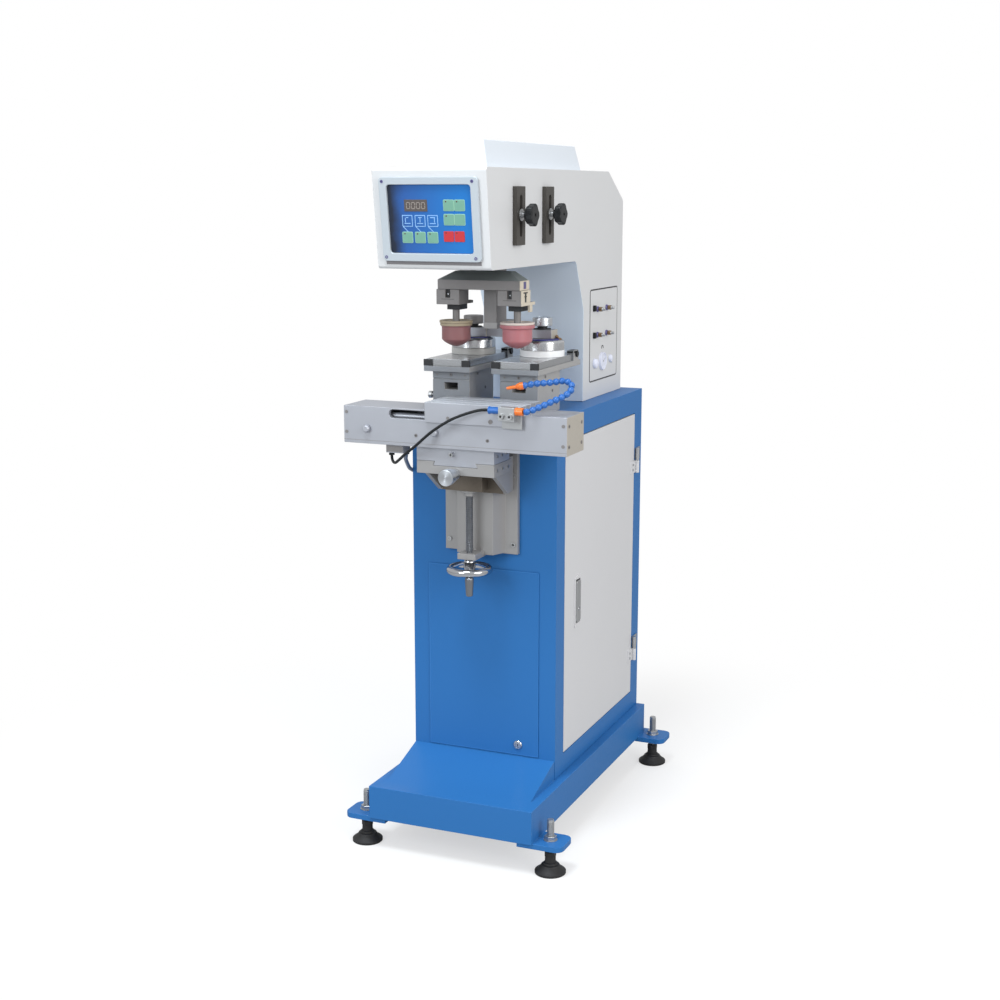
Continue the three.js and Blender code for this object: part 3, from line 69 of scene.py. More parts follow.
print("stage: camera and light")
cameraSettings = {
    "place": at(1326.05, -3031.0, 1411.14),
    "pitch": radians(78.89),
    "yaw": radians(23.01),
    "lens": 55.99,
    "sensor": 36.0,
    "reach": 50,
}
lightSettings = {
    "world": 0.7,
    "key": {"place": (-1.1, -3.6, 2.2), "target": (0, 0, 0.8), "size": 1.8, "power": 48,
            "color": (0.9, 0.96, 1.0)},
    "fill": {"place": (3.4, -1.6, 2.2), "target": (0, 0, 0.8), "size": 2.6, "power": 75,
             "color": (1.0, 0.985, 0.96)},
    "top": {"place": (-0.1, -1.7, 4.3), "target": (0, 0, 0.7), "size": 1.2, "power": 98,
            "color": (0.9, 0.96, 1.0)},
}

camera = bpy.data.objects.new("camera", bpy.data.cameras.new("camera"))
camera.data.lens = cameraSettings["lens"]
camera.data.sensor_width = cameraSettings["sensor"]
camera.data.clip_end = cameraSettings["reach"]
camera.location = cameraSettings["place"]
camera.rotation_euler = (cameraSettings["pitch"], 0, cameraSettings["yaw"])
scene.collection.objects.link(camera)
scene.camera = camera

for lampName in ("key", "fill", "top"):
    lampSettings = lightSettings[lampName]
    lamp = bpy.data.lights.new(lampName + "Light", "AREA")
    lamp.shape = "DISK"
    lamp.size = lampSettings["size"]
    lamp.energy = lampSettings["power"]
    lamp.color = lampSettings["color"]
    lampObject = bpy.data.objects.new(lampName + "Light", lamp)
    lampObject.location = lampSettings["place"]
    aim = Vector(lampSettings["target"]) - lampObject.location
    lampObject.rotation_euler = aim.to_track_quat("-Z", "Y").to_euler()
    scene.collection.objects.link(lampObject)

scene.view_settings.view_transform = "Standard"


# a shader node with its fixed inputs and its settings
def addNode(tree, kind, fixed=None, **settings):
    node = tree.nodes.new(kind)
    for key, value in settings.items():
        setattr(node, key, value)
    for entry, value in (fixed or {}).items():
        node.inputs[entry].default_value = value
    return node


# links given as (from node, its output, to node, its input)
def wire(tree, *rows):
    for source, output, target, entry in rows:
        tree.links.new(source.outputs[output], target.inputs[entry])


# the background seen by the camera is white, while its light on the machine is weaker
world = bpy.data.worlds.new("paleStudio")
scene.world = world
world.use_nodes = True
worldTree = world.node_tree
worldTree.nodes.clear()
lightPath = addNode(worldTree, "ShaderNodeLightPath")
level = addNode(worldTree, "ShaderNodeMapRange", {"To Min": lightSettings["world"], "To Max": 1.0})
background = addNode(worldTree, "ShaderNodeBackground", {"Color": (1, 1, 1, 1)})
worldOut = addNode(worldTree, "ShaderNodeOutputWorld")
wire(worldTree, (lightPath, "Is Camera Ray", level, "Value"), (level, "Result", background, "Strength"),
     (background, 0, worldOut, 0))

print("stage: shared shader effects")


def newGroup(name, sockets):
    group = bpy.data.node_groups.new(name, "ShaderNodeTree")
    for label, side, kind, value in sockets:
        socket = group.interface.new_socket(label, in_out=side, socket_type="NodeSocket" + kind)
        if value is not None:
            socket.default_value = value
    return group, addNode(group, "NodeGroupInput"), addNode(group, "NodeGroupOutput")


# fine grain: noise stretched along the piece, as a mask and as a bumped normal
def makeGrainGroup():
    group, start, end = newGroup("fineGrain", [
        ("Scale", "INPUT", "Float", 900.0), ("Stretch", "INPUT", "Vector", (1, 1, 1)),
        ("Height", "INPUT", "Float", 0.1), ("Mask", "OUTPUT", "Float", None),
        ("Normal", "OUTPUT", "Vector", None)])
    coords = addNode(group, "ShaderNodeTexCoord")
    stretch = addNode(group, "ShaderNodeVectorMath", operation="MULTIPLY")
    noise = addNode(group, "ShaderNodeTexNoise", {"Detail": 3.0})
    bump = addNode(group, "ShaderNodeBump", {"Distance": 0.0004})
    wire(group, (coords, "Object", stretch, 0), (start, "Stretch", stretch, 1), (stretch, 0, noise, "Vector"),
         (start, "Scale", noise, "Scale"), (noise, "Fac", bump, "Height"),
         (start, "Height", bump, "Strength"), (noise, "Fac", end, "Mask"), (bump, "Normal", end, "Normal"))
    return group


# tone: slow patches that make a colour a little lighter or darker
def makeToneGroup():
    group, start, end = newGroup("slowTone", [
        ("Color", "INPUT", "Color", (0.8, 0.8, 0.8, 1)), ("Amount", "INPUT", "Float", 0.06),
        ("Scale", "INPUT", "Float", 7.0), ("Color", "OUTPUT", "Color", None)])
    coords = addNode(group, "ShaderNodeTexCoord")
    noise = addNode(group, "ShaderNodeTexNoise", {"Detail": 4.0})
    centre = addNode(group, "ShaderNodeMath", {1: 0.5}, operation="SUBTRACT")
    swing = addNode(group, "ShaderNodeMath", {2: 1.0}, operation="MULTIPLY_ADD")
    scaled = addNode(group, "ShaderNodeVectorMath", operation="SCALE")
    wire(group, (coords, "Object", noise, "Vector"), (start, "Scale", noise, "Scale"),
         (noise, "Fac", centre, 0), (centre, 0, swing, 0), (start, "Amount", swing, 1),
         (start, "Color", scaled, 0),
         (swing, 0, scaled, "Scale"), (scaled, 0, end, "Color"))
    return group


# worn edges, and on the blue paint a painted edge highlight: where the rounded normal leaves the true one
def makeEdgeGroup():
    group, start, end = newGroup("edgeWearAndSheen", [
        ("Width", "INPUT", "Float", 0.001), ("Amount", "INPUT", "Float", 1.0),
        ("Mask", "OUTPUT", "Float", None)])
    rounded = addNode(group, "ShaderNodeBevel", samples=4)
    geometry = addNode(group, "ShaderNodeNewGeometry")
    dot = addNode(group, "ShaderNodeVectorMath", operation="DOT_PRODUCT")
    ramp = addNode(group, "ShaderNodeMapRange", {"From Min": 0.99, "From Max": 0.8})
    coords = addNode(group, "ShaderNodeTexCoord")
    noise = addNode(group, "ShaderNodeTexNoise", {"Scale": 160.0})
    broken = addNode(group, "ShaderNodeMath", operation="MULTIPLY")
    scaled = addNode(group, "ShaderNodeMath", operation="MULTIPLY", use_clamp=True)
    wire(group, (start, "Width", rounded, "Radius"), (rounded, "Normal", dot, 0),
         (geometry, "Normal", dot, 1), (dot, "Value", ramp, "Value"), (coords, "Object", noise, "Vector"),
         (ramp, "Result", broken, 0),
         (noise, "Fac", broken, 1), (broken, 0, scaled, 0), (start, "Amount", scaled, 1),
         (scaled, 0, end, "Mask"))
    return group


grainGroup, toneGroup, edgeGroup = makeGrainGroup(), makeToneGroup(), makeEdgeGroup()
madeMaterials = {}

# every finish: colour, roughness and how much it swings, metal, grain, slow tone, and worn edges that on the
# blue paint are a painted edge highlight
finishDefaults = {"swing": 0.1, "metal": 0.0, "grain": 500, "stretch": (1, 1, 1), "bump": 0.02, "tone": 0.1,
                  "toneScale": 60, "specular": 0.5, "coat": 0.0}
paint = {"rough": 0.46, "grain": 560, "bump": 0.1, "tone": 0.04, "toneScale": 3, "specular": 0.3}
blue = {"rough": 0.42, "grain": 620, "bump": 0.1, "tone": 0.06, "toneScale": 3, "specular": 0.25}
brushed = {"rough": 0.46, "swing": 0.14, "metal": 0.3, "grain": 400, "stretch": (3, 0.1, 3), "bump": 0.06,
           "toneScale": 14}
turned = {"swing": 0.04, "metal": 1.0, "grain": 900, "bump": 0.0006, "tone": 0.04, "toneScale": 40}
silicone = {"rough": 0.45, "grain": 160, "toneScale": 26, "coat": 0.05, "subsurface": 0.25}
ceramic = {"grain": 400, "toneScale": 24, "coat": 0.2}
board = {"rough": 0.55, "swing": 0.16, "grain": 420, "bump": 0.1, "toneScale": 40}
hoseSkin = {"rough": 0.32, "swing": 0.08, "tone": 0.08, "coat": 0.15}
keySkin = {"rough": 0.4, "grain": 700, "tone": 0.06, "toneScale": 80}
finishTable = {
    # the blue paint's edges turn a paler blue: a painted edge highlight
    "bluePaint": blue | {"color": (0.024, 0.146, 0.405), "specular": 0.22,
                         "wear": (0.0012, 0.4, (0.1, 0.26, 0.58))},
    "bluePaintDeep": blue | {"color": (0.042, 0.168, 0.385), "rough": 0.4},
    "seamBlue": blue | {"color": (0.035, 0.185, 0.49), "bump": 0.05, "tone": 0.04},
    "whitePaint": paint | {"color": (0.62, 0.63, 0.645)},
    "coverWhite": paint | {"color": (0.62, 0.665, 0.72)},
    # painted light: a lighter, bluer white for the lit front of the column
    "columnFrontLit": paint | {"color": (0.66, 0.75, 0.86)},
    "doorPaint": paint | {"color": (0.6, 0.605, 0.625)},
    "gasketGrey": {"color": (0.2, 0.19, 0.2), "rough": 0.55, "swing": 0.12, "grain": 560, "bump": 0.1,
                   "tone": 0.08, "toneScale": 20},
    "bezelWhite": {"color": (0.45, 0.5, 0.545), "rough": 0.36, "swing": 0.06, "grain": 900, "bump": 0.06,
                   "tone": 0.03, "toneScale": 6, "coat": 0.1},
    "groundSteel": brushed | {"color": (0.33, 0.325, 0.325), "metal": 0.4, "stretch": (0.12, 3, 3),
                              "toneScale": 18, "wear": (0.0008, 0.8, (0.6, 0.6, 0.6))},
    "brushedAluminium": brushed | {"color": (0.42, 0.435, 0.48), "rough": 0.42, "metal": 0.6,
                                   "stretch": (0.1, 3, 3), "tone": 0.08,
                                   "wear": (0.0008, 0.7, (0.7, 0.7, 0.7))},
    "standSteel": brushed | {"color": (0.4, 0.4, 0.4), "wear": (0.0008, 0.7, (0.6, 0.6, 0.6))},
    "standFront": brushed | {"color": (0.25, 0.265, 0.29)},
    "slideTop": brushed | {"color": (0.6, 0.64, 0.7), "rough": 0.4, "swing": 0.1, "metal": 0.5,
                           "stretch": (0.1, 3, 3), "bump": 0.05, "tone": 0.06},
    "darkSteel": {"color": (0.235, 0.225, 0.225), "rough": 0.5, "swing": 0.14, "metal": 0.35, "grain": 600,
                  "bump": 0.06, "tone": 0.12, "toneScale": 22, "wear": (0.0008, 0.7, (0.4, 0.4, 0.4))},
    "castGrey": {"color": (0.2, 0.225, 0.225), "rough": 0.62, "swing": 0.12, "metal": 0.1, "bump": 0.16,
                 "tone": 0.14, "toneScale": 30},
    "screwSteel": {"color": (0.2, 0.21, 0.23), "rough": 0.34, "swing": 0.12, "metal": 0.85, "tone": 0.08,
                   "toneScale": 30},
    "kneeShade": {"color": (0.13, 0.108, 0.085), "rough": 0.5, "swing": 0.14, "metal": 0.3, "bump": 0.05,
                  "tone": 0.12, "toneScale": 30},
    "barGrey": {"color": (0.058, 0.053, 0.047), "rough": 0.5, "swing": 0.12, "metal": 0.2, "grain": 600,
                "bump": 0.06, "toneScale": 30},
    "chromePlate": {"color": (0.5, 0.51, 0.535), "rough": 0.12, "swing": 0.08, "metal": 1.0, "grain": 90,
                    "bump": 0.01, "tone": 0.06, "toneScale": 30},
    "zincPlate": {"color": (0.46, 0.47, 0.48), "rough": 0.38, "swing": 0.16, "metal": 0.9, "grain": 700,
                  "bump": 0.05, "tone": 0.14},
    "bronzeDark": {"color": (0.3, 0.2, 0.12), "rough": 0.36, "swing": 0.14, "metal": 0.9, "bump": 0.03},
    "endGrey": {"color": (0.46, 0.43, 0.38), "rough": 0.44, "swing": 0.16, "metal": 0.25, "grain": 320,
                "bump": 0.08, "toneScale": 30},
    "etchedPlate": {"color": (0.5, 0.515, 0.535), "rough": 0.24, "swing": 0.06, "metal": 0.85, "grain": 900,
                    "stretch": (3, 0.1, 3), "bump": 0.008, "tone": 0.08, "toneScale": 12},
    "blackAnodised": {"color": (0.03, 0.031, 0.034), "rough": 0.46, "swing": 0.12, "metal": 0.4, "grain": 800,
                      "bump": 0.08, "tone": 0.2, "toneScale": 30, "wear": (0.0006, 0.5, (0.25, 0.25, 0.25))},
    "blackPlastic": {"color": (0.01, 0.0115, 0.013), "rough": 0.4, "swing": 0.12, "grain": 1100, "bump": 0.05,
                     "tone": 0.2, "toneScale": 40, "specular": 0.25},
    "blackRubber": {"color": (0.014, 0.014, 0.015), "rough": 0.62, "swing": 0.2, "grain": 900, "bump": 0.2,
                    "tone": 0.3, "toneScale": 30},
    "cupSteel": turned | {"color": (0.62, 0.63, 0.65), "rough": 0.26, "stretch": (3, 3, 0.1), "toneScale": 30,
                          "turned": ("Z", 0.75)},
    "brightAluminium": turned | {"color": (0.66, 0.69, 0.73), "rough": 0.28, "swing": 0.05, "bump": 0.004,
                                 "tone": 0.05},
    "turnedAluminium": turned | {"color": (0.66, 0.69, 0.73), "rough": 0.28, "turned": ("Z", 0.6)},
    "spunAluminium": turned | {"color": (0.6, 0.63, 0.67), "rough": 0.3, "turned": ("Y", 0.7)},
    "siliconePad": silicone | {"color": (0.44, 0.165, 0.185)},
    "siliconePadDark": silicone | {"color": (0.26, 0.115, 0.12)},
    "ceramicRing": ceramic | {"color": (0.86, 0.88, 0.9), "rough": 0.24, "swing": 0.08, "tone": 0.04},
    "ceramicDull": ceramic | {"color": (0.42, 0.42, 0.41), "rough": 0.3, "bump": 0.03},
    "creamBoard": board | {"color": (0.62, 0.56, 0.46)},
    "padBoardOlive": board | {"color": (0.36, 0.3, 0.21), "bump": 0.12, "tone": 0.14},
    "padBoardPale": board | {"color": (0.66, 0.58, 0.53), "rough": 0.5},
    "hoseBlue": hoseSkin | {"color": (0.016, 0.12, 0.42)},
    "hoseGrey": hoseSkin | {"color": (0.15, 0.19, 0.27), "rough": 0.42, "bump": 0.03, "coat": 0.0},
    "hoseOrange": hoseSkin | {"color": (0.8, 0.17, 0.02), "swing": 0.1, "bump": 0.03, "tone": 0.1},
    "cupBandBlue": {"color": (0.03, 0.035, 0.2), "rough": 0.3, "coat": 0.2},
    "displayDark": {"color": (0.095, 0.08, 0.075), "rough": 0.25, "swing": 0.05, "grain": 300, "bump": 0.01,
                    "tone": 0.06, "coat": 0.2},
    "digitGrey": {"color": (0.27, 0.24, 0.22), "rough": 0.4, "tone": 0.05},
    "keyGreen": keySkin | {"color": (0.155, 0.35, 0.265)},
    "keyGreenPale": keySkin | {"color": (0.3, 0.56, 0.4)},
    "keyRed": keySkin | {"color": (0.5, 0.025, 0.035)},
    "keyFrame": keySkin | {"color": (0.25, 0.47, 0.78), "rough": 0.36, "bump": 0.03, "tone": 0.05},
    "screwViolet": {"color": (0.11, 0.1, 0.25), "rough": 0.4, "metal": 0.3, "tone": 0.06},
    "paleLilac": {"color": (0.72, 0.75, 0.87), "rough": 0.36, "swing": 0.06, "grain": 600, "tone": 0.04,
                  "toneScale": 40, "specular": 0.3},
    "ledRed": {"color": (0.09, 0.03, 0.03), "rough": 0.25, "swing": 0.05, "bump": 0.01, "tone": 0.05,
               "toneScale": 90},
    "boardGreen": {"color": (0.02, 0.14, 0.07), "rough": 0.4, "grain": 600, "bump": 0.04, "toneScale": 40},
}


def mat(name):
    if name in madeMaterials:
        return madeMaterials[name]
    row = finishDefaults | finishTable[name]
    material = bpy.data.materials.new(name)
    material.use_nodes = True
    tree = material.node_tree
    shader = tree.nodes["Principled BSDF"]
    tone = addNode(tree, "ShaderNodeGroup", {"Color": (*row["color"], 1), "Amount": row["tone"],
                                             "Scale": row["toneScale"]}, node_tree=toneGroup)
    grain = addNode(tree, "ShaderNodeGroup", {"Scale": row["grain"], "Stretch": row["stretch"],
                                              "Height": row["bump"]}, node_tree=grainGroup)
    rough = addNode(tree, "ShaderNodeMapRange", {
        "From Min": 0.3, "From Max": 0.7, "To Min": row["rough"] - row["swing"] / 2,
        "To Max": row["rough"] + row["swing"] / 2})
    wire(tree, (grain, "Mask", rough, "Value"), (rough, "Result", shader, "Roughness"),
         (grain, "Normal", shader, "Normal"))
    last, output = tone, "Color"
    if "wear" in row:
        width, amount, edgeColour = row["wear"]
        edge = addNode(tree, "ShaderNodeGroup", {"Width": width, "Amount": amount}, node_tree=edgeGroup)
        mix = addNode(tree, "ShaderNodeMix", {"B": (*edgeColour, 1)}, data_type="RGBA")
        wire(tree, (edge, "Mask", mix, "Factor"), (tone, "Color", mix, "A"))
        last, output = mix, "Result"
    wire(tree, (last, output, shader, "Base Color"))
    shader.inputs["Metallic"].default_value = row["metal"]
    shader.inputs["Specular IOR Level"].default_value = row["specular"]
    shader.inputs["Coat Weight"].default_value = row["coat"]
    shader.inputs["Coat Roughness"].default_value = 0.15
    if "turned" in row:  # highlights run round the turning axis
        turnedAxis, pull = row["turned"]
        tangent = addNode(tree, "ShaderNodeTangent", direction_type="RADIAL", axis=turnedAxis)
        shader.inputs["Anisotropic"].default_value = pull
        shader.inputs["Anisotropic Rotation"].default_value = 0.25
        wire(tree, (tangent, "Tangent", shader, "Tangent"))
    if "subsurface" in row:
        shader.inputs["Subsurface Weight"].default_value = row["subsurface"]
        shader.inputs["Subsurface Radius"].default_value = (0.012, 0.004, 0.003)
        shader.inputs["Subsurface Scale"].default_value = 1.0
    madeMaterials[name] = material
    return material


print("stage: modelling helpers")
weld = 0.000002  # vertices closer than this are one


# a matrix that lays local +Z along a direction, at a place
def facing(direction, place):
    return Matrix.Translation(place) @ Vector(direction).to_track_quat("Z", "Y").to_matrix().to_4x4()


# the faces made since a set was taken get a material slot
def slotNew(bm, before, slotIndex):
    for face in bm.faces:
        if face not in before:
            face.material_index = slotIndex


def addBox(bm, low, high, turn=None, slotIndex=0):
    before = set(bm.faces)
    place = Matrix.Translation((low + high) / 2) @ Matrix.Diagonal((*(high - low), 1))
    bmesh.ops.create_cube(bm, size=1, matrix=turn @ place if turn else place)
    slotNew(bm, before, slotIndex)


def addRod(bm, start, end, radius, steps=24, slotIndex=0):
    before = set(bm.faces)
    bmesh.ops.create_cone(bm, cap_ends=True, segments=steps, radius1=radius, radius2=radius,
                          depth=(end - start).length, matrix=facing(end - start, (start + end) / 2))
    slotNew(bm, before, slotIndex)


# revolves a profile of (radius, height) in mm about an axis through a place
def addTurned(bm, profile, place, direction=axisZ, steps=48, slotIndex=0):
    before = set(bm.faces)
    turn = facing(direction, place)
    verts = [bm.verts.new(turn @ Vector((r * mm, 0, h * mm))) for r, h in profile]
    edges = [bm.edges.new(pair) for pair in zip(verts, verts[1:])]
    bmesh.ops.spin(bm, geom=verts + edges, cent=turn.translation, axis=turn.to_3x3() @ axisZ, dvec=(0, 0, 0),
                   angle=2 * pi, steps=steps, use_merge=True)
    slotNew(bm, before, slotIndex)


def ringProfile(inner, outer, low, high):
    return [(inner, low), (outer, low), (outer, high), (inner, high), (inner, low)]


# joins rings of vertices with faces and closes both ends
def joinRings(bm, rings):
    for lower, upper in zip(rings, rings[1:]):
        for step in range(len(lower)):
            after = (step + 1) % len(lower)
            bm.faces.new((lower[step], lower[after], upper[after], upper[step]))
    bm.faces.new(list(reversed(rings[0])))
    bm.faces.new(rings[-1])


def newVerts(grown):
    return [item for item in grown if isinstance(item, bmesh.types.BMVert)]


# a screw with a round head and a hexagon socket, head out along a direction
def addSocketScrew(bm, place, direction, radius, height):
    turn = facing(direction, place)
    along = turn.to_3x3() @ axisZ
    base = bmesh.ops.create_circle(bm, cap_ends=True, radius=radius, segments=24, matrix=turn)["verts"]
    face = next(f for f in base[0].link_faces if len(f.verts) == 24)
    grown = bmesh.ops.extrude_face_region(bm, geom=[face])["geom"]
    bmesh.ops.translate(bm, verts=newVerts(grown), vec=along * height)
    topFace = next(item for item in grown if isinstance(item, bmesh.types.BMFace))
    rim = list(topFace.edges)
    bmesh.ops.delete(bm, geom=[topFace], context="FACES_ONLY")
    hexagon = bmesh.ops.create_circle(bm, radius=radius * 0.5, segments=6,
                                      matrix=Matrix.Translation(along * height) @ turn)["verts"]
    hexEdges = list({e for v in hexagon for e in v.link_edges})
    bmesh.ops.bridge_loops(bm, edges=rim + hexEdges)
    sunk = bmesh.ops.extrude_edge_only(bm, edges=hexEdges)["geom"]
    bmesh.ops.translate(bm, verts=newVerts(sunk), vec=along * -height * 0.5)
    bmesh.ops.contextual_create(bm, geom=[item for item in sunk if isinstance(item, bmesh.types.BMEdge)])


def sharpEdges(bm, degrees=30):
    return [e for e in bm.edges if e.is_manifold and e.calc_face_angle(0) > radians(degrees)]


def bevelEdges(bm, edges, width, segments, clamp=True):
    bmesh.ops.bevel(bm, geom=edges, offset=width * mm, offset_type="OFFSET", segments=segments, profile=0.5,
                    affect="EDGES", material=-1, clamp_overlap=clamp)


def roundEdges(bm, width, segments=2):
    bevelEdges(bm, sharpEdges(bm), width, segments, clamp=False)


# bakes normals weighted by face area, so that flats stay flat beside rounded edges
def settleNormals(piece):
    weighted = piece.modifiers.new("weighted", "WEIGHTED_NORMAL")
    weighted.keep_sharp = True
    bpy.context.view_layer.update()
    baked = bpy.data.meshes.new_from_object(piece.evaluated_get(bpy.context.evaluated_depsgraph_get()))
    plain = piece.data
    name = plain.name
    piece.modifiers.clear()
    piece.data = baked
    bpy.data.meshes.remove(plain)
    baked.name = name


# turns a bmesh into a piece that rides on a body
def finishPiece(name, bm, body, looks, slotName, merge=True, outward=True, sharp=32, replaced=()):
    if merge:
        bmesh.ops.remove_doubles(bm, verts=bm.verts, dist=weld)
    if outward:
        bmesh.ops.recalc_face_normals(bm, faces=bm.faces)
    mesh = bpy.data.meshes.new(name)
    bm.to_mesh(mesh)
    bm.free()
    for face in mesh.polygons:
        face.use_smooth = True
    mesh.set_sharp_from_angle(angle=radians(sharp))
    for look in [looks] if isinstance(looks, str) else looks:
        mesh.materials.append(mat(look))
    piece = bpy.data.objects.new(name, mesh)
    scene.collection.objects.link(piece)
    settleNormals(piece)
    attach(piece, body)
    if replaced:
        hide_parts(*replaced)
    return piece


# a new shape in place of a node, with the node's body
def standIn(node, bm, looks, **extra):
    first, *others = node.split("_")
    name = first + "".join(word.capitalize() for word in others)
    return finishPiece(name, bm, bodyOf[node], looks, slotOf[node], replaced=[node], **extra)


# a node's own shape with its edges rounded, in place of the node; choose says which look a face gets
def dressNode(node, looks, width, segments=2, reshape=None, choose=None):
    bm = bmesh.new()
    bm.from_mesh(frame["nodes"][node].data)
    bmesh.ops.remove_doubles(bm, verts=bm.verts, dist=weld)
    bmesh.ops.dissolve_limit(bm, angle_limit=radians(1.0), verts=bm.verts, edges=bm.edges,
                             use_dissolve_boundaries=False)
    if reshape:
        reshape(bm)
    roundEdges(bm, width, segments)
    piece = standIn(node, bm, looks, outward=False)
    if choose:
        for face in piece.data.polygons:
            face.material_index = int(choose(face.normal, (face.center - at(0, 0, 0)) / mm))
    return piece


# one piece turned about one axis
def turnedPiece(name, body, looks, slotName, profile, place, direction=axisZ, steps=48, **extra):
    bm = bmesh.new()
    addTurned(bm, profile, place, direction, steps)
    return finishPiece(name, bm, body, looks, slotName, **extra)


# one piece of upright boxes, each given by its low and high corner in mm
def boxPiece(name, body, looks, slotName, boxes, edge=0, segments=2):
    bm = bmesh.new()
    for low, high in boxes:
        addBox(bm, at(*low), at(*high))
    if edge:
        roundEdges(bm, edge, segments)
    return finishPiece(name, bm, body, looks, slotName)


# several screws in one piece: rows of (place, direction, radius, height in mm)
def screwSet(name, body, rows, look="zincPlate", slotName="zinc"):
    bm = bmesh.new()
    for place, direction, radius, height in rows:
        addSocketScrew(bm, place, direction, radius * mm, height * mm)
    return finishPiece(name, bm, body, look, slotName)


# places given in mm from a place on the x axis
def shifted(x, corners):
    return [at(x, 0, 0) + Vector(corner) * mm for corner in corners]


def middleOf(node):
    low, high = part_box(node)
    return (low + high) / 2


# the middle of the face by which a node stands on the machine's right side
def sideFoot(node):
    spot = middleOf(node)
    spot.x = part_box(node)[0].x
    return spot


print("stage: floor")
floorSettings = {"size": 14, "rough": 0.8, "color": (0.93, 0.93, 0.93, 1), "bounce": 0.45, "near": 0.75,
                 "far": 1.5, "white": 0.55}
floorBm = bmesh.new()
bmesh.ops.create_grid(floorBm, x_segments=1, y_segments=1, size=floorSettings["size"])
floorMesh = bpy.data.meshes.new("floor")
floorBm.to_mesh(floorMesh)
floorBm.free()
floor = bpy.data.objects.new("floor", floorMesh)
scene.collection.objects.link(floor)
floorMaterial = bpy.data.materials.new("paleFloor")
floorMaterial.use_nodes = True
floorTree = floorMaterial.node_tree
floorShader = floorTree.nodes["Principled BSDF"]
floorShader.inputs["Roughness"].default_value = floorSettings["rough"]
floorPath = addNode(floorTree, "ShaderNodeLightPath")
floorColour = addNode(floorTree, "ShaderNodeMix", {"A": (*[floorSettings["bounce"]] * 3, 1),
                                                   "B": floorSettings["color"]}, data_type="RGBA")
floorCoords = addNode(floorTree, "ShaderNodeTexCoord")
floorReach = addNode(floorTree, "ShaderNodeVectorMath", operation="LENGTH")
floorFade = addNode(floorTree, "ShaderNodeMapRange", {
    "From Min": floorSettings["near"], "From Max": floorSettings["far"], "To Min": floorSettings["white"],
    "To Max": 1.0}, interpolation_type="SMOOTHSTEP")
floorShare = addNode(floorTree, "ShaderNodeMath", operation="MULTIPLY")
floorGlow = addNode(floorTree, "ShaderNodeEmission", {"Color": (1, 1, 1, 1)})
floorBlend = addNode(floorTree, "ShaderNodeMixShader")
wire(floorTree, (floorPath, "Is Camera Ray", floorColour, "Factor"),
     (floorColour, "Result", floorShader, "Base Color"), (floorCoords, "Object", floorReach, 0),
     (floorReach, "Value", floorFade, "Value"), (floorFade, "Result", floorShare, 0),
     (floorPath, "Is Camera Ray", floorShare, 1), (floorShare, 0, floorBlend, "Fac"),
     (floorShader, 0, floorBlend, 1), (floorGlow, 0, floorBlend, 2),
     (floorBlend, 0, floorTree.nodes["Material Output"], "Surface"))
floorMesh.materials.append(floorMaterial)


# a smooth route through points in mm, as evenly spaced places; bends as the CAD route does
def smoothRoute(points, count, fineSteps=60):
    spots = [at(*point) for point in points]
    spots = [spots[0] * 2 - spots[1], *spots, spots[-1] * 2 - spots[-2]]
    fine = []
    for before, start, end, after in zip(spots, spots[1:], spots[2:], spots[3:]):
        pairs = (before, start), (start, end), (end, after)
        first, middle, last = [(b - a).length ** 0.5 for a, b in pairs]
        leave = (start - before) / first - (end - before) / (first + middle) + (end - start) / middle
        arrive = (end - start) / middle - (after - start) / (middle + last) + (after - end) / last
        leave, arrive = leave * middle, arrive * middle
        for step in range(fineSteps):
            t = step / fineSteps
            fine.append(start + leave * t + ((end - start) * 3 - leave * 2 - arrive) * t * t
                        + ((start - end) * 2 + leave + arrive) * t ** 3)
    fine.append(spots[-2])
    reach = [0.0]
    for a, b in zip(fine, fine[1:]):
        reach.append(reach[-1] + (b - a).length)
    even, index = [], 0
    for step in range(count):
        goal = reach[-1] * step / (count - 1)
        while index < len(reach) - 2 and reach[index + 1] < goal:
            index += 1
        share = (goal - reach[index]) / (reach[index + 1] - reach[index])
        even.append(fine[index].lerp(fine[index + 1], min(max(share, 0), 1)))
    return even, reach[-1]


# a round hose along evenly spaced places, as a mesh
def makeHose(name, places, diameter, look):
    curve = bpy.data.curves.new(name + "Line", "CURVE")
    curve.dimensions = "3D"
    curve.bevel_depth = diameter / 2 * mm
    curve.bevel_resolution = 5
    curve.use_fill_caps = True
    spline = curve.splines.new("POLY")
    spline.points.add(len(places) - 1)
    for point, spot in zip(spline.points, places):
        point.co = (*spot, 1)
    line = bpy.data.objects.new(name + "Line", curve)
    scene.collection.objects.link(line)
    bpy.context.view_layer.update()
    mesh = bpy.data.meshes.new_from_object(line.evaluated_get(bpy.context.evaluated_depsgraph_get()))
    bpy.data.objects.remove(line)
    for face in mesh.polygons:
        face.use_smooth = True
    mesh.materials.clear()
    mesh.materials.append(mat(look))
    hose = bpy.data.objects.new(name, mesh)
    scene.collection.objects.link(hose)
    return hose


print("stage: air tube")
tubeSettings = {
    "diameter": 6.0,
    "places": 60,
    "blend": (at(-60, -190, 910), at(70, -183, 984)),
    "route": [(91.6, -181, 985.6), (82, -181.1, 985.5), (70, -182.5, 984), (46, -186, 977), (10, -190, 962),
              (-33, -194, 934), (-69, -191, 904), (-97, -182, 884), (-120, -168, 867), (-135, -155, 859),
              (-145, -145.5, 861.5), (-149.5, -140.2, 869.5), (-149.5, -140, 878.2)],
}
tubePoints, tubeLength = smoothRoute(tubeSettings["route"], tubeSettings["places"])
airTube = makeHose("airTube", tubePoints, tubeSettings["diameter"], "blackPlastic")
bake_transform(airTube)
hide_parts("air_tube")

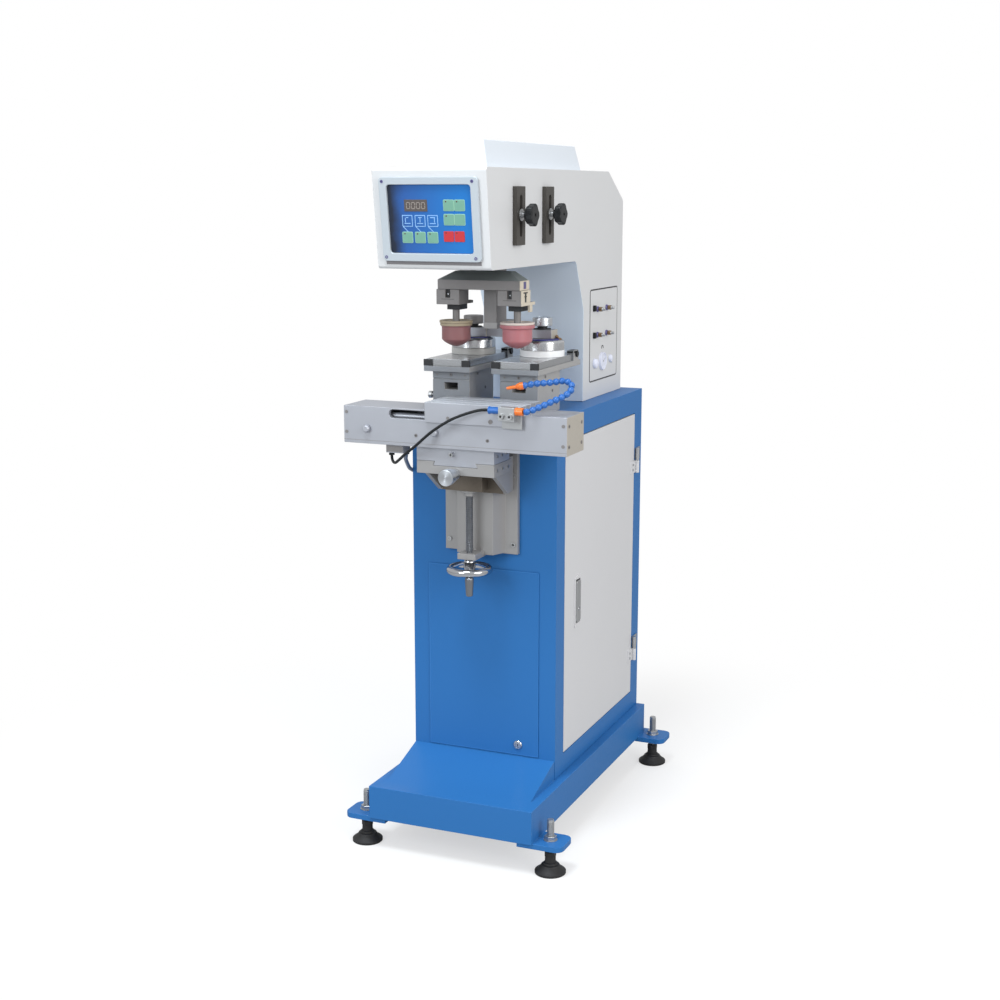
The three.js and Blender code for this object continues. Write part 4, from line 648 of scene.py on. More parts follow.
# the grey-blue hose crosses two joints, so it is two pieces; the upper one is a quarter of it
sleeveSettings = {
    "diameter": 8.4,
    "places": 60,
    "route": [(-129, -112, 880), (-130, -111, 873), (-134, -104, 866), (-143, -88, 857), (-157.5, -50, 838),
              (-169, -18, 824), (-177, 10, 815), (-181, 35, 807), (-179, 54, 801), (-169, 66, 797)],
}
sleevePoints = smoothRoute(sleeveSettings["route"], sleeveSettings["places"])[0]
sleeveSplit = len(sleevePoints) // 4
for name, places, bodies, exitIndex in (
        ("hoseSleeveUpper", sleevePoints[:sleeveSplit + 1], ("cross_slide", "knee"), 0),
        ("hoseSleeveLower", sleevePoints[sleeveSplit:], ("knee", "stand"), -1)):
    sleeve = makeHose(name, places, sleeveSettings["diameter"], "hoseGrey")
    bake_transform(sleeve)

print("stage: stand")
footSettings = {
    "disc": [(0, 0), (31.8, 0), (33.3, 1.2), (33.4, 6), (31.8, 7.6), (29.5, 8.2), (21, 16.5), (19.5, 19.5),
             (15.5, 20.5), (14.5, 24), (11.8, 25), (11.5, 38), (0, 38)],
    "nut": {"low": 37, "high": 48.5, "radius": 12.4},
    "stud": {"core": 7.0, "crest": 8.0, "pitch": 2.0, "low": 46, "high": 119.8},
    "lockNut": {"low": 74.4, "high": 84, "radius": 13.5},
    "washer": {"low": 74.05, "high": 75.6, "radius": 15, "bore": 8.4},
}


# a hexagon nut round +Z with its corners turned off; its heights are above a foot
def addHex(bm, foot, nut):
    before = set(bm.faces)
    height, radius = (nut["high"] - nut["low"]) * mm, nut["radius"] * mm
    middle = Matrix.Translation((0, 0, nut["low"] * mm + height / 2))
    bmesh.ops.create_cone(bm, cap_ends=True, segments=6, radius1=radius, radius2=radius, depth=height,
                          matrix=facing(axisZ, foot) @ middle)
    corners = [e for f in bm.faces if f not in before and len(f.verts) == 6 for e in f.edges]
    bevelEdges(bm, corners, nut["radius"] * 0.06, 1)


# a screw thread: one closed ridge wound on its core
def addThread(bm, place, direction, thread, slotIndex=0, steps=20):
    before = set(bm.faces)
    turn = facing(direction, place)
    pitch, crest, root = thread["pitch"], thread["crest"], thread["core"] - 0.3
    turns = int((thread["high"] - thread["low"]) / pitch - 1)
    base = thread["low"] + 0.04 * pitch
    shape = [(root, 0), (crest, pitch * 0.36), (crest, pitch * 0.56), (root, pitch * 0.92)]
    verts = [bm.verts.new(turn @ Vector((r * mm, 0, (base + h) * mm))) for r, h in shape]
    edges = [bm.edges.new((a, b)) for a, b in zip(verts, verts[1:] + verts[:1])]
    rise = turn.to_3x3() @ Vector((0, 0, pitch * mm / steps))
    bmesh.ops.spin(bm, geom=verts + edges, cent=turn.translation, axis=turn.to_3x3() @ axisZ, dvec=rise,
                   angle=2 * pi * turns, steps=turns * steps, use_merge=False)
    ends = [e for e in bm.edges if e.is_boundary and any(f not in before for f in e.link_faces)]
    bmesh.ops.holes_fill(bm, edges=ends, sides=4)
    low, high = [turn @ Vector((0, 0, thread[end] * mm)) for end in ("low", "high")]
    addRod(bm, low, high, thread["core"] * mm, 32)
    slotNew(bm, before, slotIndex)


nutBm = bmesh.new()
for corner in ("front_left", "front_right", "rear_left", "rear_right"):
    centre = middleOf("levelling_foot_" + corner)
    centre.z = 0
    bm = bmesh.new()
    addTurned(bm, footSettings["disc"], centre, steps=64)
    addHex(bm, centre, footSettings["nut"])
    addThread(bm, centre, axisZ, footSettings["stud"], slotIndex=1)
    standIn("levelling_foot_" + corner, bm, ["blackRubber", "zincPlate"])
    addHex(nutBm, centre, footSettings["lockNut"])
    washer = footSettings["washer"]
    addTurned(nutBm, ringProfile(washer["bore"], washer["radius"], washer["low"], washer["high"]), centre)
finishPiece("footLockNuts", nutBm, "stand", "zincPlate", "zinc")

for node, width in (("base_frame", 1.0), ("cabinet_shell", 0.7), ("front_service_panel", 0.5)):
    dressNode(node, "bluePaint", width)

lockSettings = {
    "place": at(83, -2.6, 216),
    "profile": [(0, 2.3), (5.4, 2.3), (5.8, 3), (8.7, 3), (10, 1.7), (10, 0), (8, 0), (8, -9.0), (0, -9.0)],
    "cam": ((-7, 6, -34), (7, 9, 0)),
    "slot": ((-0.8, -2.45, -3.4), (0.8, -1.8, 3.4)),
}
bm = bmesh.new()
addTurned(bm, lockSettings["profile"], lockSettings["place"], -axisY)
for slotIndex, shape in enumerate(("cam", "slot")):
    low, high = [lockSettings["place"] + Vector(corner) * mm for corner in lockSettings[shape]]
    addBox(bm, low, high, slotIndex=slotIndex)
standIn("front_panel_lock", bm, ["chromePlate", "blackPlastic"])

print("stage: side door")
dressNode("side_door", "doorPaint", 0.8)
dressNode("door_handle", "zincPlate", 1.4, 3)
latchSettings = {
    "place": at(174.5, 132, 504),
    "disc": [(0, 0.2), (3.4, 0.2), (3.6, 0.7), (4.4, 0.7), (4.9, 0.2), (4.9, -2), (0, -2)],
    "slot": (at(174.4, 131.5, 501.6), at(174.75, 132.5, 506.4)),
}
bm = bmesh.new()
addTurned(bm, latchSettings["disc"], latchSettings["place"], axisX, 32)
addBox(bm, *latchSettings["slot"], slotIndex=1)
finishPiece("latchKeyDisc", bm, "door_handle", ["chromePlate", "blackPlastic"], "chromed")
hingeSettings = {
    "heights": {"upper": 778, "lower": 304},
    "cabinetSide": (172.9, 545),
    "doorSide": (172.6, 508),
    "steps": (9, 21),
    "screw": (3.1, 0.9),
}
hingeRows, doorRows = [], []
for place, height in hingeSettings["heights"].items():
    dressNode("door_hinge_" + place, "zincPlate", 0.5)
    for step in hingeSettings["steps"]:
        hingeRows.append((at(*hingeSettings["cabinetSide"], height + step), axisX, *hingeSettings["screw"]))
        doorRows.append((at(*hingeSettings["doorSide"], height - step), axisX, *hingeSettings["screw"]))
screwSet("hingeScrewsCabinet", "stand", hingeRows)
screwSet("hingeScrewsDoor", "side_door", doorRows)

print("stage: head")
bossSettings = {"y": 420.6, "z": 1027.6, "reach": 23, "side": 122, "shift": (0, -10.6, 1.6)}
columnSettings = {"behind": 60, "low": 950, "high": 1300}


# the seat of the gauge, moved to where the gauge sits
def shiftBoss(bm):
    middle = at(0, bossSettings["y"], bossSettings["z"])
    side, reach = bossSettings["side"] * mm, bossSettings["reach"] * mm
    seat = [v for v in bm.verts if v.co.x > side and (v.co - middle).yz.length < reach]
    bmesh.ops.translate(bm, verts=seat, vec=Vector(bossSettings["shift"]) * mm)


# painted light: the front of the column behind the cups gets a lighter, bluer white than the sides, where the
# light falls on it
def isLitColumnFront(normal, spot):
    return (normal.y < -0.3 and columnSettings["low"] < spot.z < columnSettings["high"]
            and spot.y > columnSettings["behind"])


dressNode("head_housing", ["whitePaint", "columnFrontLit"], 0.8, reshape=shiftBoss, choose=isLitColumnFront)
# the cover's white paint is given a bluer tint than the head's: painted bluish light from above
dressNode("head_top_cover", "coverWhite", 1.6, 3)
coverSettings = {"side": 84.5, "places": (-150, 84, 318), "height": 1475, "lean": 0.26, "screw": (3.2, 1.6)}
coverRows = []
for side in (-1, 1):
    for y in coverSettings["places"]:
        coverRows.append((at(side * coverSettings["side"], y, coverSettings["height"]),
                          Vector((side, 0, coverSettings["lean"])), *coverSettings["screw"]))
screwSet("coverScrews", "stand", coverRows, "coverWhite", "white_paint")

# the keypad lies on the leaning front: u across, v up the slope, out along -y
panelSettings = {
    "foot": at(0, -240, 1266.5),
    "lean": atan2(25, 197),
    "film": 2.3,
    "display": {"low": (-55, 113.5), "high": (-5, 136.5), "digits": 4, "digit": (7.2, 13.5), "gap": 3.6,
                "stroke": 1.5},
    "keySize": (21.5, 20.5),
    "keyRise": 0.9,
    "keyBorder": 1.6,
    "greenKeys": [(-51.5, 63), (-24, 63), (3, 63), (40.6, 125.5), (63.8, 125.5), (40, 98), (63, 98)],
    "redKeys": [(37.6, 65.5), (60.6, 65.5)],
    "darkKey": 6,
    "icons": [(-50, 95.3), (-22.4, 95.3), (4.8, 95.3)],
    "iconSize": (22.5, 22.5),
    "iconBorder": 3,
    "screws": [(-98.6, 172), (94.6, 172), (-98.6, 24.6), (94.6, 24)],
    "screw": (-6.3, 3.2, 1.6),
    "link": {"from": -10, "to": 2.7, "width": 1.3, "rise": 0.2},
    "lamp": {"across": -5.4, "up": 7.2, "profile": [(0, 0.5), (0.9, 0.4), (1.5, 0.1), (1.5, -0.3),
                                                    (0, -0.3)]},
    "window": {"half": 87.5, "wide": 89.6, "low": 30.7, "high": 162.1, "newLow": 32.3, "newHigh": 165.4,
               "reach": 4},
}
panelTurn = Matrix.Translation(panelSettings["foot"]) @ Matrix.Rotation(panelSettings["lean"], 4, "X")


# widens the window of the frame, and the keypad that fills it
def stretchWindow(bm):
    window = panelSettings["window"]
    low, high, reach = window["low"], window["high"], window["reach"]
    bm.transform(panelTurn.inverted())
    for vert in bm.verts:
        u, v = vert.co.x / mm, vert.co.z / mm
        if abs(u) < window["half"] + reach and low - reach < v < high + reach:
            share = (v - low) / (high - low)
            vert.co.x = u * window["wide"] / window["half"] * mm
            vert.co.z = (window["newLow"] + share * (window["newHigh"] - window["newLow"])) * mm
    bm.transform(panelTurn)


dressNode("panel_bezel", "bezelWhite", 1.2, 3, reshape=stretchWindow)
bezelLow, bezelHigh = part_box("panel_bezel")
# painted shadow: a dark strip along the bezel's lower edge stands for the shadow that the bezel casts on the
# head's front
shadowStrip = {"inset": 3, "height": 6.5, "proud": 0.6, "sunk": 0.2, "over": 0.5}
shadowStripHalf = bezelHigh.x / mm - shadowStrip["inset"]
shadowStripTop = (bezelLow.z - panelSettings["foot"].z) / mm / cos(panelSettings["lean"])
bm = bmesh.new()
addBox(bm, Vector((-shadowStripHalf, -shadowStrip["proud"], shadowStripTop - shadowStrip["height"])) * mm,
       Vector((shadowStripHalf, shadowStrip["sunk"], shadowStripTop + shadowStrip["over"])) * mm, panelTurn)
finishPiece("bezelShadowStrip", bm, "stand", "gasketGrey", "black_plastic")


# a pad on the film: middle, size, rise, corner and edge radius in mm
def addPanelPad(bm, u, v, width, height, rise, corner=2.0, edge=0.35, slotIndex=0):
    before = set(bm.faces)
    film = panelSettings["film"]
    front = -film - rise
    addBox(bm, Vector((u - width / 2, front, v - height / 2)) * mm,
           Vector((u + width / 2, -film + 0.2, v + height / 2)) * mm)
    edges = {e for f in bm.faces if f not in before for e in f.edges}
    bevelEdges(bm, [e for e in edges if abs((e.verts[0].co - e.verts[1].co).y) > 0.1 * mm], corner, 4)
    added = [f for f in bm.faces if f not in before]
    fronts = [f for f in added if f.calc_center_median().y < (front + 0.01) * mm]
    if edge:
        bevelEdges(bm, list({e for f in fronts for e in f.edges}), edge, 2)
    slotNew(bm, before, slotIndex)


# pads on the panel as one piece
def padPiece(name, looks, pads):
    bm = bmesh.new()
    for pad in pads:
        addPanelPad(bm, *pad)
    bm.transform(panelTurn)
    finishPiece(name, bm, "stand", looks, "film")


# the film: blue in soft clouds that darkens towards its left side; the dark band at its left edge is painted
# shade from the raised frame
filmSettings = {
    "half": 0.0875,
    "clouds": {"Scale": 26.0, "Detail": 4.0},
    "cloudShare": 0.16,
    "ends": [(0.1, (0.015, 0.022, 0.04, 1)), (0.95, (0.014, 0.165, 0.5, 1))],
    "between": [(0.16, (0.02, 0.05, 0.14, 1)), (0.26, (0.025, 0.1, 0.34, 1))],
}


def makeShadedFilmMaterial():
    material = mat("bluePaintDeep").copy()
    material.name = "keypadFilm"
    tree = material.node_tree
    coords = addNode(tree, "ShaderNodeTexCoord")
    split = addNode(tree, "ShaderNodeSeparateXYZ")
    across = addNode(tree, "ShaderNodeMapRange", {"From Min": -filmSettings["half"],
                                                  "From Max": filmSettings["half"]})
    cloud = addNode(tree, "ShaderNodeTexNoise", filmSettings["clouds"])
    shade = addNode(tree, "ShaderNodeMath", {1: filmSettings["cloudShare"]}, operation="MULTIPLY_ADD")
    ramp = addNode(tree, "ShaderNodeValToRGB")
    for index, (place, colour) in enumerate(filmSettings["ends"]):
        ramp.color_ramp.elements[index].position = place
        ramp.color_ramp.elements[index].color = colour
    for place, colour in filmSettings["between"]:
        ramp.color_ramp.elements.new(place).color = colour
    wire(tree, (coords, "Object", split, 0), (coords, "Object", cloud, "Vector"),
         (split, "X", across, "Value"), (cloud, "Fac", shade, 0), (across, "Result", shade, 2),
         (shade, 0, ramp, "Fac"),
         (ramp, "Color", tree.nodes["Principled BSDF"], "Base Color"))
    madeMaterials["keypadFilm"] = material


makeShadedFilmMaterial()
dressNode("keypad_overlay", "keypadFilm", 0.3, reshape=stretchWindow)
padWidth, padHeight = panelSettings["keySize"]
keyRise, keyBorder = panelSettings["keyRise"], panelSettings["keyBorder"]
greenPads = []
for u, v in panelSettings["greenKeys"]:
    greenPads.append((u, v, padWidth, padHeight, keyRise))
    greenPads.append((u, v, padWidth + keyBorder, padHeight + keyBorder, keyRise - 0.3, 2.6, 0.35, 1))
padPiece("greenKeys", ["keyGreen", "keyGreenPale"], greenPads)
padPiece("redKeys", "keyRed", [(u, v, padWidth, padHeight, keyRise) for u, v in panelSettings["redKeys"]])

# each symbol field has a frame and a line down to its key
iconWidth, iconHeight = panelSettings["iconSize"]
link = panelSettings["link"]
bm = bmesh.new()
for (u, v), (keyU, keyV) in zip(panelSettings["icons"], panelSettings["greenKeys"]):
    addPanelPad(bm, u, v, iconWidth, iconHeight, 0.25, 1.2, 0)
    start = Vector((u + link["from"], v - iconHeight / 2))
    end = Vector((keyU + link["to"], keyV + padHeight / 2))
    run, middle = end - start, (start + end) / 2
    turn = Matrix.Translation(Vector((middle.x, -panelSettings["film"], middle.y)) * mm)
    turn @= Matrix.Rotation(atan2(-run.y, run.x), 4, "Y")
    corner = Vector((run.length / 2, link["rise"], link["width"] / 2)) * mm
    addBox(bm, -corner, corner, turn)
bm.transform(panelTurn)
finishPiece("symbolFrames", bm, "stand", "keyFrame", "film")
iconBorder = panelSettings["iconBorder"]
padPiece("symbolFields", "keypadFilm", [(u, v, iconWidth - iconBorder, iconHeight - iconBorder, 0.45, 0.8, 0)
                                        for u, v in panelSettings["icons"]])
symbolPads = []
for row, (u, v) in enumerate(panelSettings["icons"]):
    symbolPads.append((u, v - 5, 13, 1.5, 0.65, 0.3, 0))
    symbolPads.append((u - 4 + 4 * row, v + 1.5, 1.5, 9, 0.65, 0.3, 0))
    symbolPads.append((u, v + 6.5, 5 + 3 * row, 1.5, 0.65, 0.3, 0))
padPiece("symbolLines", "keyFrame", symbolPads)

display = panelSettings["display"]
(lowU, lowV), (highU, highV) = display["low"], display["high"]
middleU, middleV = (lowU + highU) / 2, (lowV + highV) / 2
padPiece("displayWindow", "displayDark", [(middleU, middleV, highU - lowU, highV - lowV, 0.7, 1.4, 0.3)])
digitWidth, digitHeight = display["digit"]
stroke = display["stroke"]
digitPads = []
for index in range(display["digits"]):  # every digit is a zero made of six bars
    u = middleU + (index - (display["digits"] - 1) / 2) * (digitWidth + display["gap"])
    for side in (-1, 1):
        digitPads.append((u, middleV + side * digitHeight * 0.44, digitWidth - stroke, stroke, 0.85, 0.3, 0))
    for across in (-1, 1):
        for up in (-1, 1):
            digitPads.append((u + across * digitWidth / 2, middleV + up * digitHeight * 0.22, stroke,
                              digitHeight * 0.38, 0.85, 0.3, 0))
padPiece("displayDigits", "digitGrey", digitPads)
dot = panelSettings["lamp"]
lampKeys = [key for index, key in enumerate(panelSettings["greenKeys"]) if index != panelSettings["darkKey"]]
bm = bmesh.new()
for u, v in lampKeys + panelSettings["redKeys"]:
    spot = Vector((u + dot["across"], -panelSettings["film"] - keyRise, v + dot["up"])) * mm
    addTurned(bm, dot["profile"], spot, -axisY, 20)
bm.transform(panelTurn)
finishPiece("panelLamps", bm, "stand", "ledRed", "film")
screwFoot, screwRadius, screwHeight = panelSettings["screw"]
bm = bmesh.new()
for u, v in panelSettings["screws"]:
    addSocketScrew(bm, Vector((u, screwFoot, v)) * mm, -axisY, screwRadius * mm, screwHeight * mm)
bm.transform(panelTurn)
finishPiece("bezelScrews", bm, "stand", "screwViolet", "zinc")

print("stage: stop bars")
stopSettings = {
    "lobes": 5,
    "reach": 23.2,
    "dip": 3.2,
    "points": 80,
    "edge": 3.2,
    "hub": 10,
    "lobeFoot": 7,
    "insert": [(0, 0), (3.4, 0), (4.6, -0.3), (4.6, -1), (0, -1)],
    "stud": [(0, 0), (5.8, 0), (5.8, 9), (11.4, 9), (12, 9.6), (12, 10.6), (11.4, 11.2), (5.5, 11.2),
             (5.5, 17.6), (0, 17.6)],
    "thread": {"core": 3.4, "crest": 4.0, "pitch": 1.25, "low": 17, "high": 32.2},
}


# a clamp knob with round lobes on a short hub, its axis along +X
def addLobeKnob(bm, hubFoot, end):
    knob = stopSettings
    hub, lobeFoot = knob["hub"], knob["lobeFoot"]
    made = bmesh.ops.create_circle(bm, cap_ends=True, radius=1, segments=knob["points"])["verts"]
    for vert in made:
        angle = atan2(vert.co.y, vert.co.x)
        reach = knob["reach"] - knob["dip"] * (0.5 - 0.5 * cos(angle * knob["lobes"]))
        vert.co = Vector((cos(angle), sin(angle), 0)) * reach * mm + axisZ * lobeFoot * mm
    grown = bmesh.ops.extrude_face_region(bm, geom=[made[0].link_faces[0]])["geom"]
    bmesh.ops.translate(bm, verts=newVerts(grown), vec=axisZ * (end - lobeFoot) * mm)
    bevelEdges(bm, sharpEdges(bm, 50), knob["edge"], 4)
    bm.transform(facing(axisX, hubFoot))
    hubProfile = [(0, 0.2), (hub - 0.8, 0.2), (hub, 1), (hub, lobeFoot + 1), (0, lobeFoot + 1)]
    addTurned(bm, hubProfile, hubFoot, axisX)


for place in ("front", "rear"):
    dressNode("stop_bar_" + place, "barGrey", 0.6)
    foot = sideFoot("stop_stud_" + place)
    bm = bmesh.new()
    addTurned(bm, stopSettings["stud"], foot, axisX)
    addThread(bm, foot, axisX, stopSettings["thread"], steps=16)
    standIn("stop_stud_" + place, bm, "zincPlate")
    low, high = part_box("stop_knob_" + place)
    bm = bmesh.new()
    addLobeKnob(bm, Vector((low.x, foot.y, foot.z)), (high.x - low.x) / mm)
    addTurned(bm, stopSettings["insert"], Vector((high.x, foot.y, foot.z)), axisX, 24, slotIndex=1)
    standIn("stop_knob_" + place, bm, ["blackPlastic", "zincPlate"])

print("stage: air controls")
airSettings = {
    "plate": {"low": (325.6, 986), "high": (518, 1198.7), "foot": 122.7, "corner": 8, "line": 3.2},
    "elbows": [(349.5, 1155), (351, 1093)],
    "elbow": {"low": 123, "high": 130, "wide": 4.5, "tall": 7},
    "arc": {"x": 123.2, "y": 413.6, "z": 1059, "radius": 6, "thick": 1.0, "rise": 0.9, "dots": 12},
}
plate = airSettings["plate"]
(plateY0, plateZ0), (plateY1, plateZ1) = plate["low"], plate["high"]
for name, inset, rise, look in (("airPanelEdge", 0, 0.35, "blackAnodised"),
                                ("airPanelPlate", plate["line"], 0.5, "whitePaint")):
    bm = bmesh.new()
    addBox(bm, at(plate["foot"], plateY0 + inset, plateZ0 + inset),
           at(plate["foot"] + 0.1 + rise, plateY1 - inset, plateZ1 - inset))
    posts = [e for e in bm.edges if abs((e.verts[0].co - e.verts[1].co).x) > 0.1 * mm]
    bevelEdges(bm, posts, plate["corner"] - inset, 5)
    finishPiece(name, bm, "stand", look, "white_paint")
elbow = airSettings["elbow"]
wide, tall = elbow["wide"], elbow["tall"]
elbowBoxes = [((elbow["low"], y - wide, z - tall), (elbow["high"], y + wide, z + tall))
              for y, z in airSettings["elbows"]]
boxPiece("airElbows", "stand", "blackPlastic", "black_plastic", elbowBoxes, 1.6, 3)
bm = bmesh.new()
arc = airSettings["arc"]
for step in range(arc["dots"]):
    angle = pi * step / (arc["dots"] - 1)
    spot = at(arc["x"], arc["y"] + arc["radius"] * cos(angle), arc["z"] + arc["radius"] * sin(angle))
    addRod(bm, spot, spot + axisX * arc["rise"] * mm, arc["thick"] * mm, 12)
finishPiece("airMark", bm, "stand", "blackAnodised", "black_plastic", merge=False)

valveSettings = {
    "profile": [(0, 0), (6.5, 0), (6.5, 3), (5.6, 4), (3.2, 4), (3.2, 5.4), (4.6, 5.4), (5, 5.9), (5, 13.4),
                (4.5, 14), (3.4, 14), (3.4, 19), (2.8, 20), (0, 20)],
    "grip": {"low": 5.8, "high": 13.5, "inset": 0.18, "depth": 0.25},
    "looks": {"violet": 4.5, "bronze": 13},
}
for index in range(1, 5):
    spot = sideFoot("flow_valve_%d" % index)
    grip = valveSettings["grip"]
    bm = bmesh.new()
    addTurned(bm, valveSettings["profile"], spot, axisX, 32)
    grips = [f for f in bm.faces if f.calc_area() > 0 and abs(f.normal.x) < 0.2
             and grip["low"] < (f.calc_center_median() - spot).x / mm < grip["high"]]
    bmesh.ops.inset_individual(bm, faces=grips, thickness=grip["inset"] * mm, depth=-grip["depth"] * mm)
    for face in bm.faces:
        reach = (face.calc_center_median() - spot).x / mm
        face.material_index = 1 if reach < valveSettings["looks"]["violet"] else 2
        if reach >= valveSettings["looks"]["bronze"]:
            face.material_index = 0
    standIn("flow_valve_%d" % index, bm, ["zincPlate", "screwViolet", "bronzeDark"])

gaugeSettings = {
    "place": at(127.8, 410, 1029.2),
    "rim": [(17.6, 0.4), (18.2, 1.4), (19.6, 1.6), (20.6, 0.8), (20.8, -4.6), (17.6, -4.6), (17.6, 0.4)],
    "dial": [(0, 0.1), (17.5, 0.1), (17.5, -0.6), (0, -0.6)],
    "ticks": {"count": 21, "first": -135, "turn": 13.5, "reach": 16, "long": (3.6, 0.7), "short": (2.2, 0.4)},
    "needle": {"angle": -60, "low": (0.1, -0.5, -4), "high": (0.4, 0.5, 13)},
    "cap": [(0, 0.8), (2, 0.6), (2.2, 0), (0, 0)],
}
gauge, ticks, needle = gaugeSettings["place"], gaugeSettings["ticks"], gaugeSettings["needle"]
turnedPiece("gaugeRim", "stand", "paleLilac", "chromed", gaugeSettings["rim"], gauge, axisX, 64)
turnedPiece("gaugeDial", "stand", "paleLilac", "white_paint", gaugeSettings["dial"], gauge, axisX)
bm = bmesh.new()
for tick in range(ticks["count"]):
    length, width = ticks["long"] if tick % 5 == 0 else ticks["short"]
    turn = Matrix.Translation(gauge) @ Matrix.Rotation(radians(ticks["first"] + tick * ticks["turn"]), 4, "X")
    addBox(bm, Vector((0.05, -width / 2, ticks["reach"] - length)) * mm,
           Vector((0.22, width / 2, ticks["reach"])) * mm, turn)
addBox(bm, Vector(needle["low"]) * mm, Vector(needle["high"]) * mm,
       Matrix.Translation(gauge) @ Matrix.Rotation(radians(needle["angle"]), 4, "X"))
addTurned(bm, gaugeSettings["cap"], gauge, axisX, 24)
finishPiece("gaugeMarks", bm, "stand", "zincPlate", "black_plastic")

regulatorSettings = {
    "profile": [(0, 0), (10.4, 0), (11, 0.6), (11, 4.8), (10, 7), (7.4, 8.4), (4, 9), (0, 9)],
    "rib": {"reach": 10.8, "inset": 0.3, "depth": 0.3},
}
spot, rib = sideFoot("regulator_knob"), regulatorSettings["rib"]
bm = bmesh.new()
addTurned(bm, regulatorSettings["profile"], spot, axisX)
ribs = [f for f in bm.faces if abs(f.normal.x) < 0.2
        and (f.calc_center_median() - spot).yz.length > rib["reach"] * mm]
bmesh.ops.inset_individual(bm, faces=ribs, thickness=rib["inset"] * mm, depth=-rib["depth"] * mm)
standIn("regulator_knob", bm, "paleLilac")
portSettings = {
    "place": at(123.2, 467, 1030.6),
    "profile": [(0, 0), (8.2, 0), (8.6, 0.6), (8.6, 3.2), (7.6, 5.4), (5, 6.8), (0, 7.4)],
}
turnedPiece("airPort", "stand", "paleLilac", "white_paint", portSettings["profile"], portSettings["place"],
            axisX, 40)

print("stage: pads and ink cups")
beamSettings = {
    "castAbove": 1235.05,
    "endPlate": ((94.05, -26, 1215.2), (95.6, 24, 1234.8)),
    "endSlot": ((95.2, -8, 1218), (95.9, 6, 1232.8)),
}
dressNode("traverse_rails", "groundSteel", 0.5)
dressNode("traverse_carriage", "brushedAluminium", 0.8)
dressNode("pad_beam", ["darkSteel", "castGrey"], 0.9,
          choose=lambda normal, spot: spot.z > beamSettings["castAbove"])
boxPiece("beamEndPlate", "pad_ram", "creamBoard", "cream", [beamSettings["endPlate"]], 0.3)
boxPiece("beamEndSlot", "pad_ram", "screwViolet", "film", [beamSettings["endSlot"]])

padSettings = {
    "left": {"x": -70.5, "pad": "siliconePadDark", "board": "padBoardOlive", "disc": 36, "lip": 34.5,
             "lipHeight": 6, "body": 31},
    "right": {"x": 71.5, "pad": "siliconePad", "board": "padBoardPale", "disc": 36.4, "lip": 37,
              "lipHeight": 7.5, "body": 31.6},
    "y": 17,
    "padTop": 1141.7,
    "straight": 34.2,
    "dome": 16.8,
    "domePower": 1.43,
    "domeSteps": 12,
    "tip": 3,
    "discFoot": 1142,
    "stem": {"radius": 7.6, "low": 1144.8, "high": 1170.4, "block": ((-15, 3, 1170), (15, 43, 1182.4))},
    "slot": {"half": 5.4, "back": -20, "low": 1197.4, "high": 1214.6},
    "slotScrew": {"height": 1205, "head": (2.6, 4), "tip": (3.2, 1.3)},
    "groove": ((-15, -26.12, 1193.7), (15, -25.9, 1194.5)),
}


# the pad's outline: lip, straight body and a blunt cone
def padProfile(size):
    lip, drop, body = size["lip"], size["lipHeight"], size["body"]
    rows = [(0, 0), (lip - 0.7, 0), (lip, -0.7), (lip, -drop + 1.4), (lip - 0.6, -drop + 0.3),
            (body + 1.8, -drop - 0.5), (body + 0.5, -drop - 1.6), (body, -drop - 3.6)]
    straight, dome, tip = padSettings["straight"], padSettings["dome"] - 0.6, padSettings["tip"]
    for step in range(padSettings["domeSteps"] + 1):
        turn = pi / 2 * step / padSettings["domeSteps"]
        rows.append((tip + (body - tip) * cos(turn) ** padSettings["domePower"],
                     -straight - dome * sin(turn) ** padSettings["domePower"]))
    return rows + [(tip * 0.5, -straight - dome - 0.5), (0, -straight - dome - 0.6)]


for side in ("left", "right"):
    place = padSettings[side]
    x, y, disc = place["x"], padSettings["y"], place["disc"]
    body, tag = "pad_unit_" + side, side.capitalize()
    dressNode("pad_holder_" + side, "darkSteel", 0.9)
    bm = bmesh.new()
    addTurned(bm, padProfile(place), at(x, y, padSettings["padTop"]), steps=64)
    lipFoot = at(0, 0, padSettings["padTop"] - place["lipHeight"]).z
    for face in bm.faces:  # the left pad shows its board above the lip
        if side == "left" and face.calc_center_median().z > lipFoot:
            face.material_index = 1
    standIn("silicone_pad_" + side, bm, [place["pad"], place["board"]], sharp=60)
    discProfile = [(0, 0), (disc - 0.7, 0), (disc, 0.7), (disc, 4.2), (disc - 0.8, 5), (disc - 5.6, 5),
                   (disc - 6.6, 4.6), (disc - 8, 3.1), (disc - 9, 3), (0, 3)]
    turnedPiece("padBase" + tag, body, place["board"], "cream", discProfile,
                at(x, y, padSettings["discFoot"]), steps=64, replaced=["pad_stem_" + side])
    stem = padSettings["stem"]
    bm = bmesh.new()
    addBox(bm, *shifted(x, stem["block"]))
    roundEdges(bm, 1)
    addRod(bm, at(x, y, stem["low"]), at(x, y, stem["high"]), stem["radius"] * mm, 40, slotIndex=1)
    finishPiece("padStem" + tag, bm, body, ["blackAnodised", "darkSteel"], "cream")
    slot, screw = padSettings["slot"], padSettings["slotScrew"]
    half, back, height = slot["half"], slot["back"], screw["height"]
    (headReach, headRadius), (tipReach, tipRadius) = screw["head"], screw["tip"]
    headTop = at(x, back - headReach, height)
    bm = bmesh.new()
    addBox(bm, at(x - half, back - 0.3, slot["low"]), at(x + half, back + 0.2, slot["high"]))
    addRod(bm, at(x, back, height), headTop, headRadius * mm, 24)
    addRod(bm, headTop, at(x, back - tipReach, height), tipRadius * mm, 16, slotIndex=1)
    addBox(bm, *shifted(x, padSettings["groove"]))
    finishPiece("holderSlot" + tag, bm, body, ["blackAnodised", "brightAluminium"], "dark_steel")

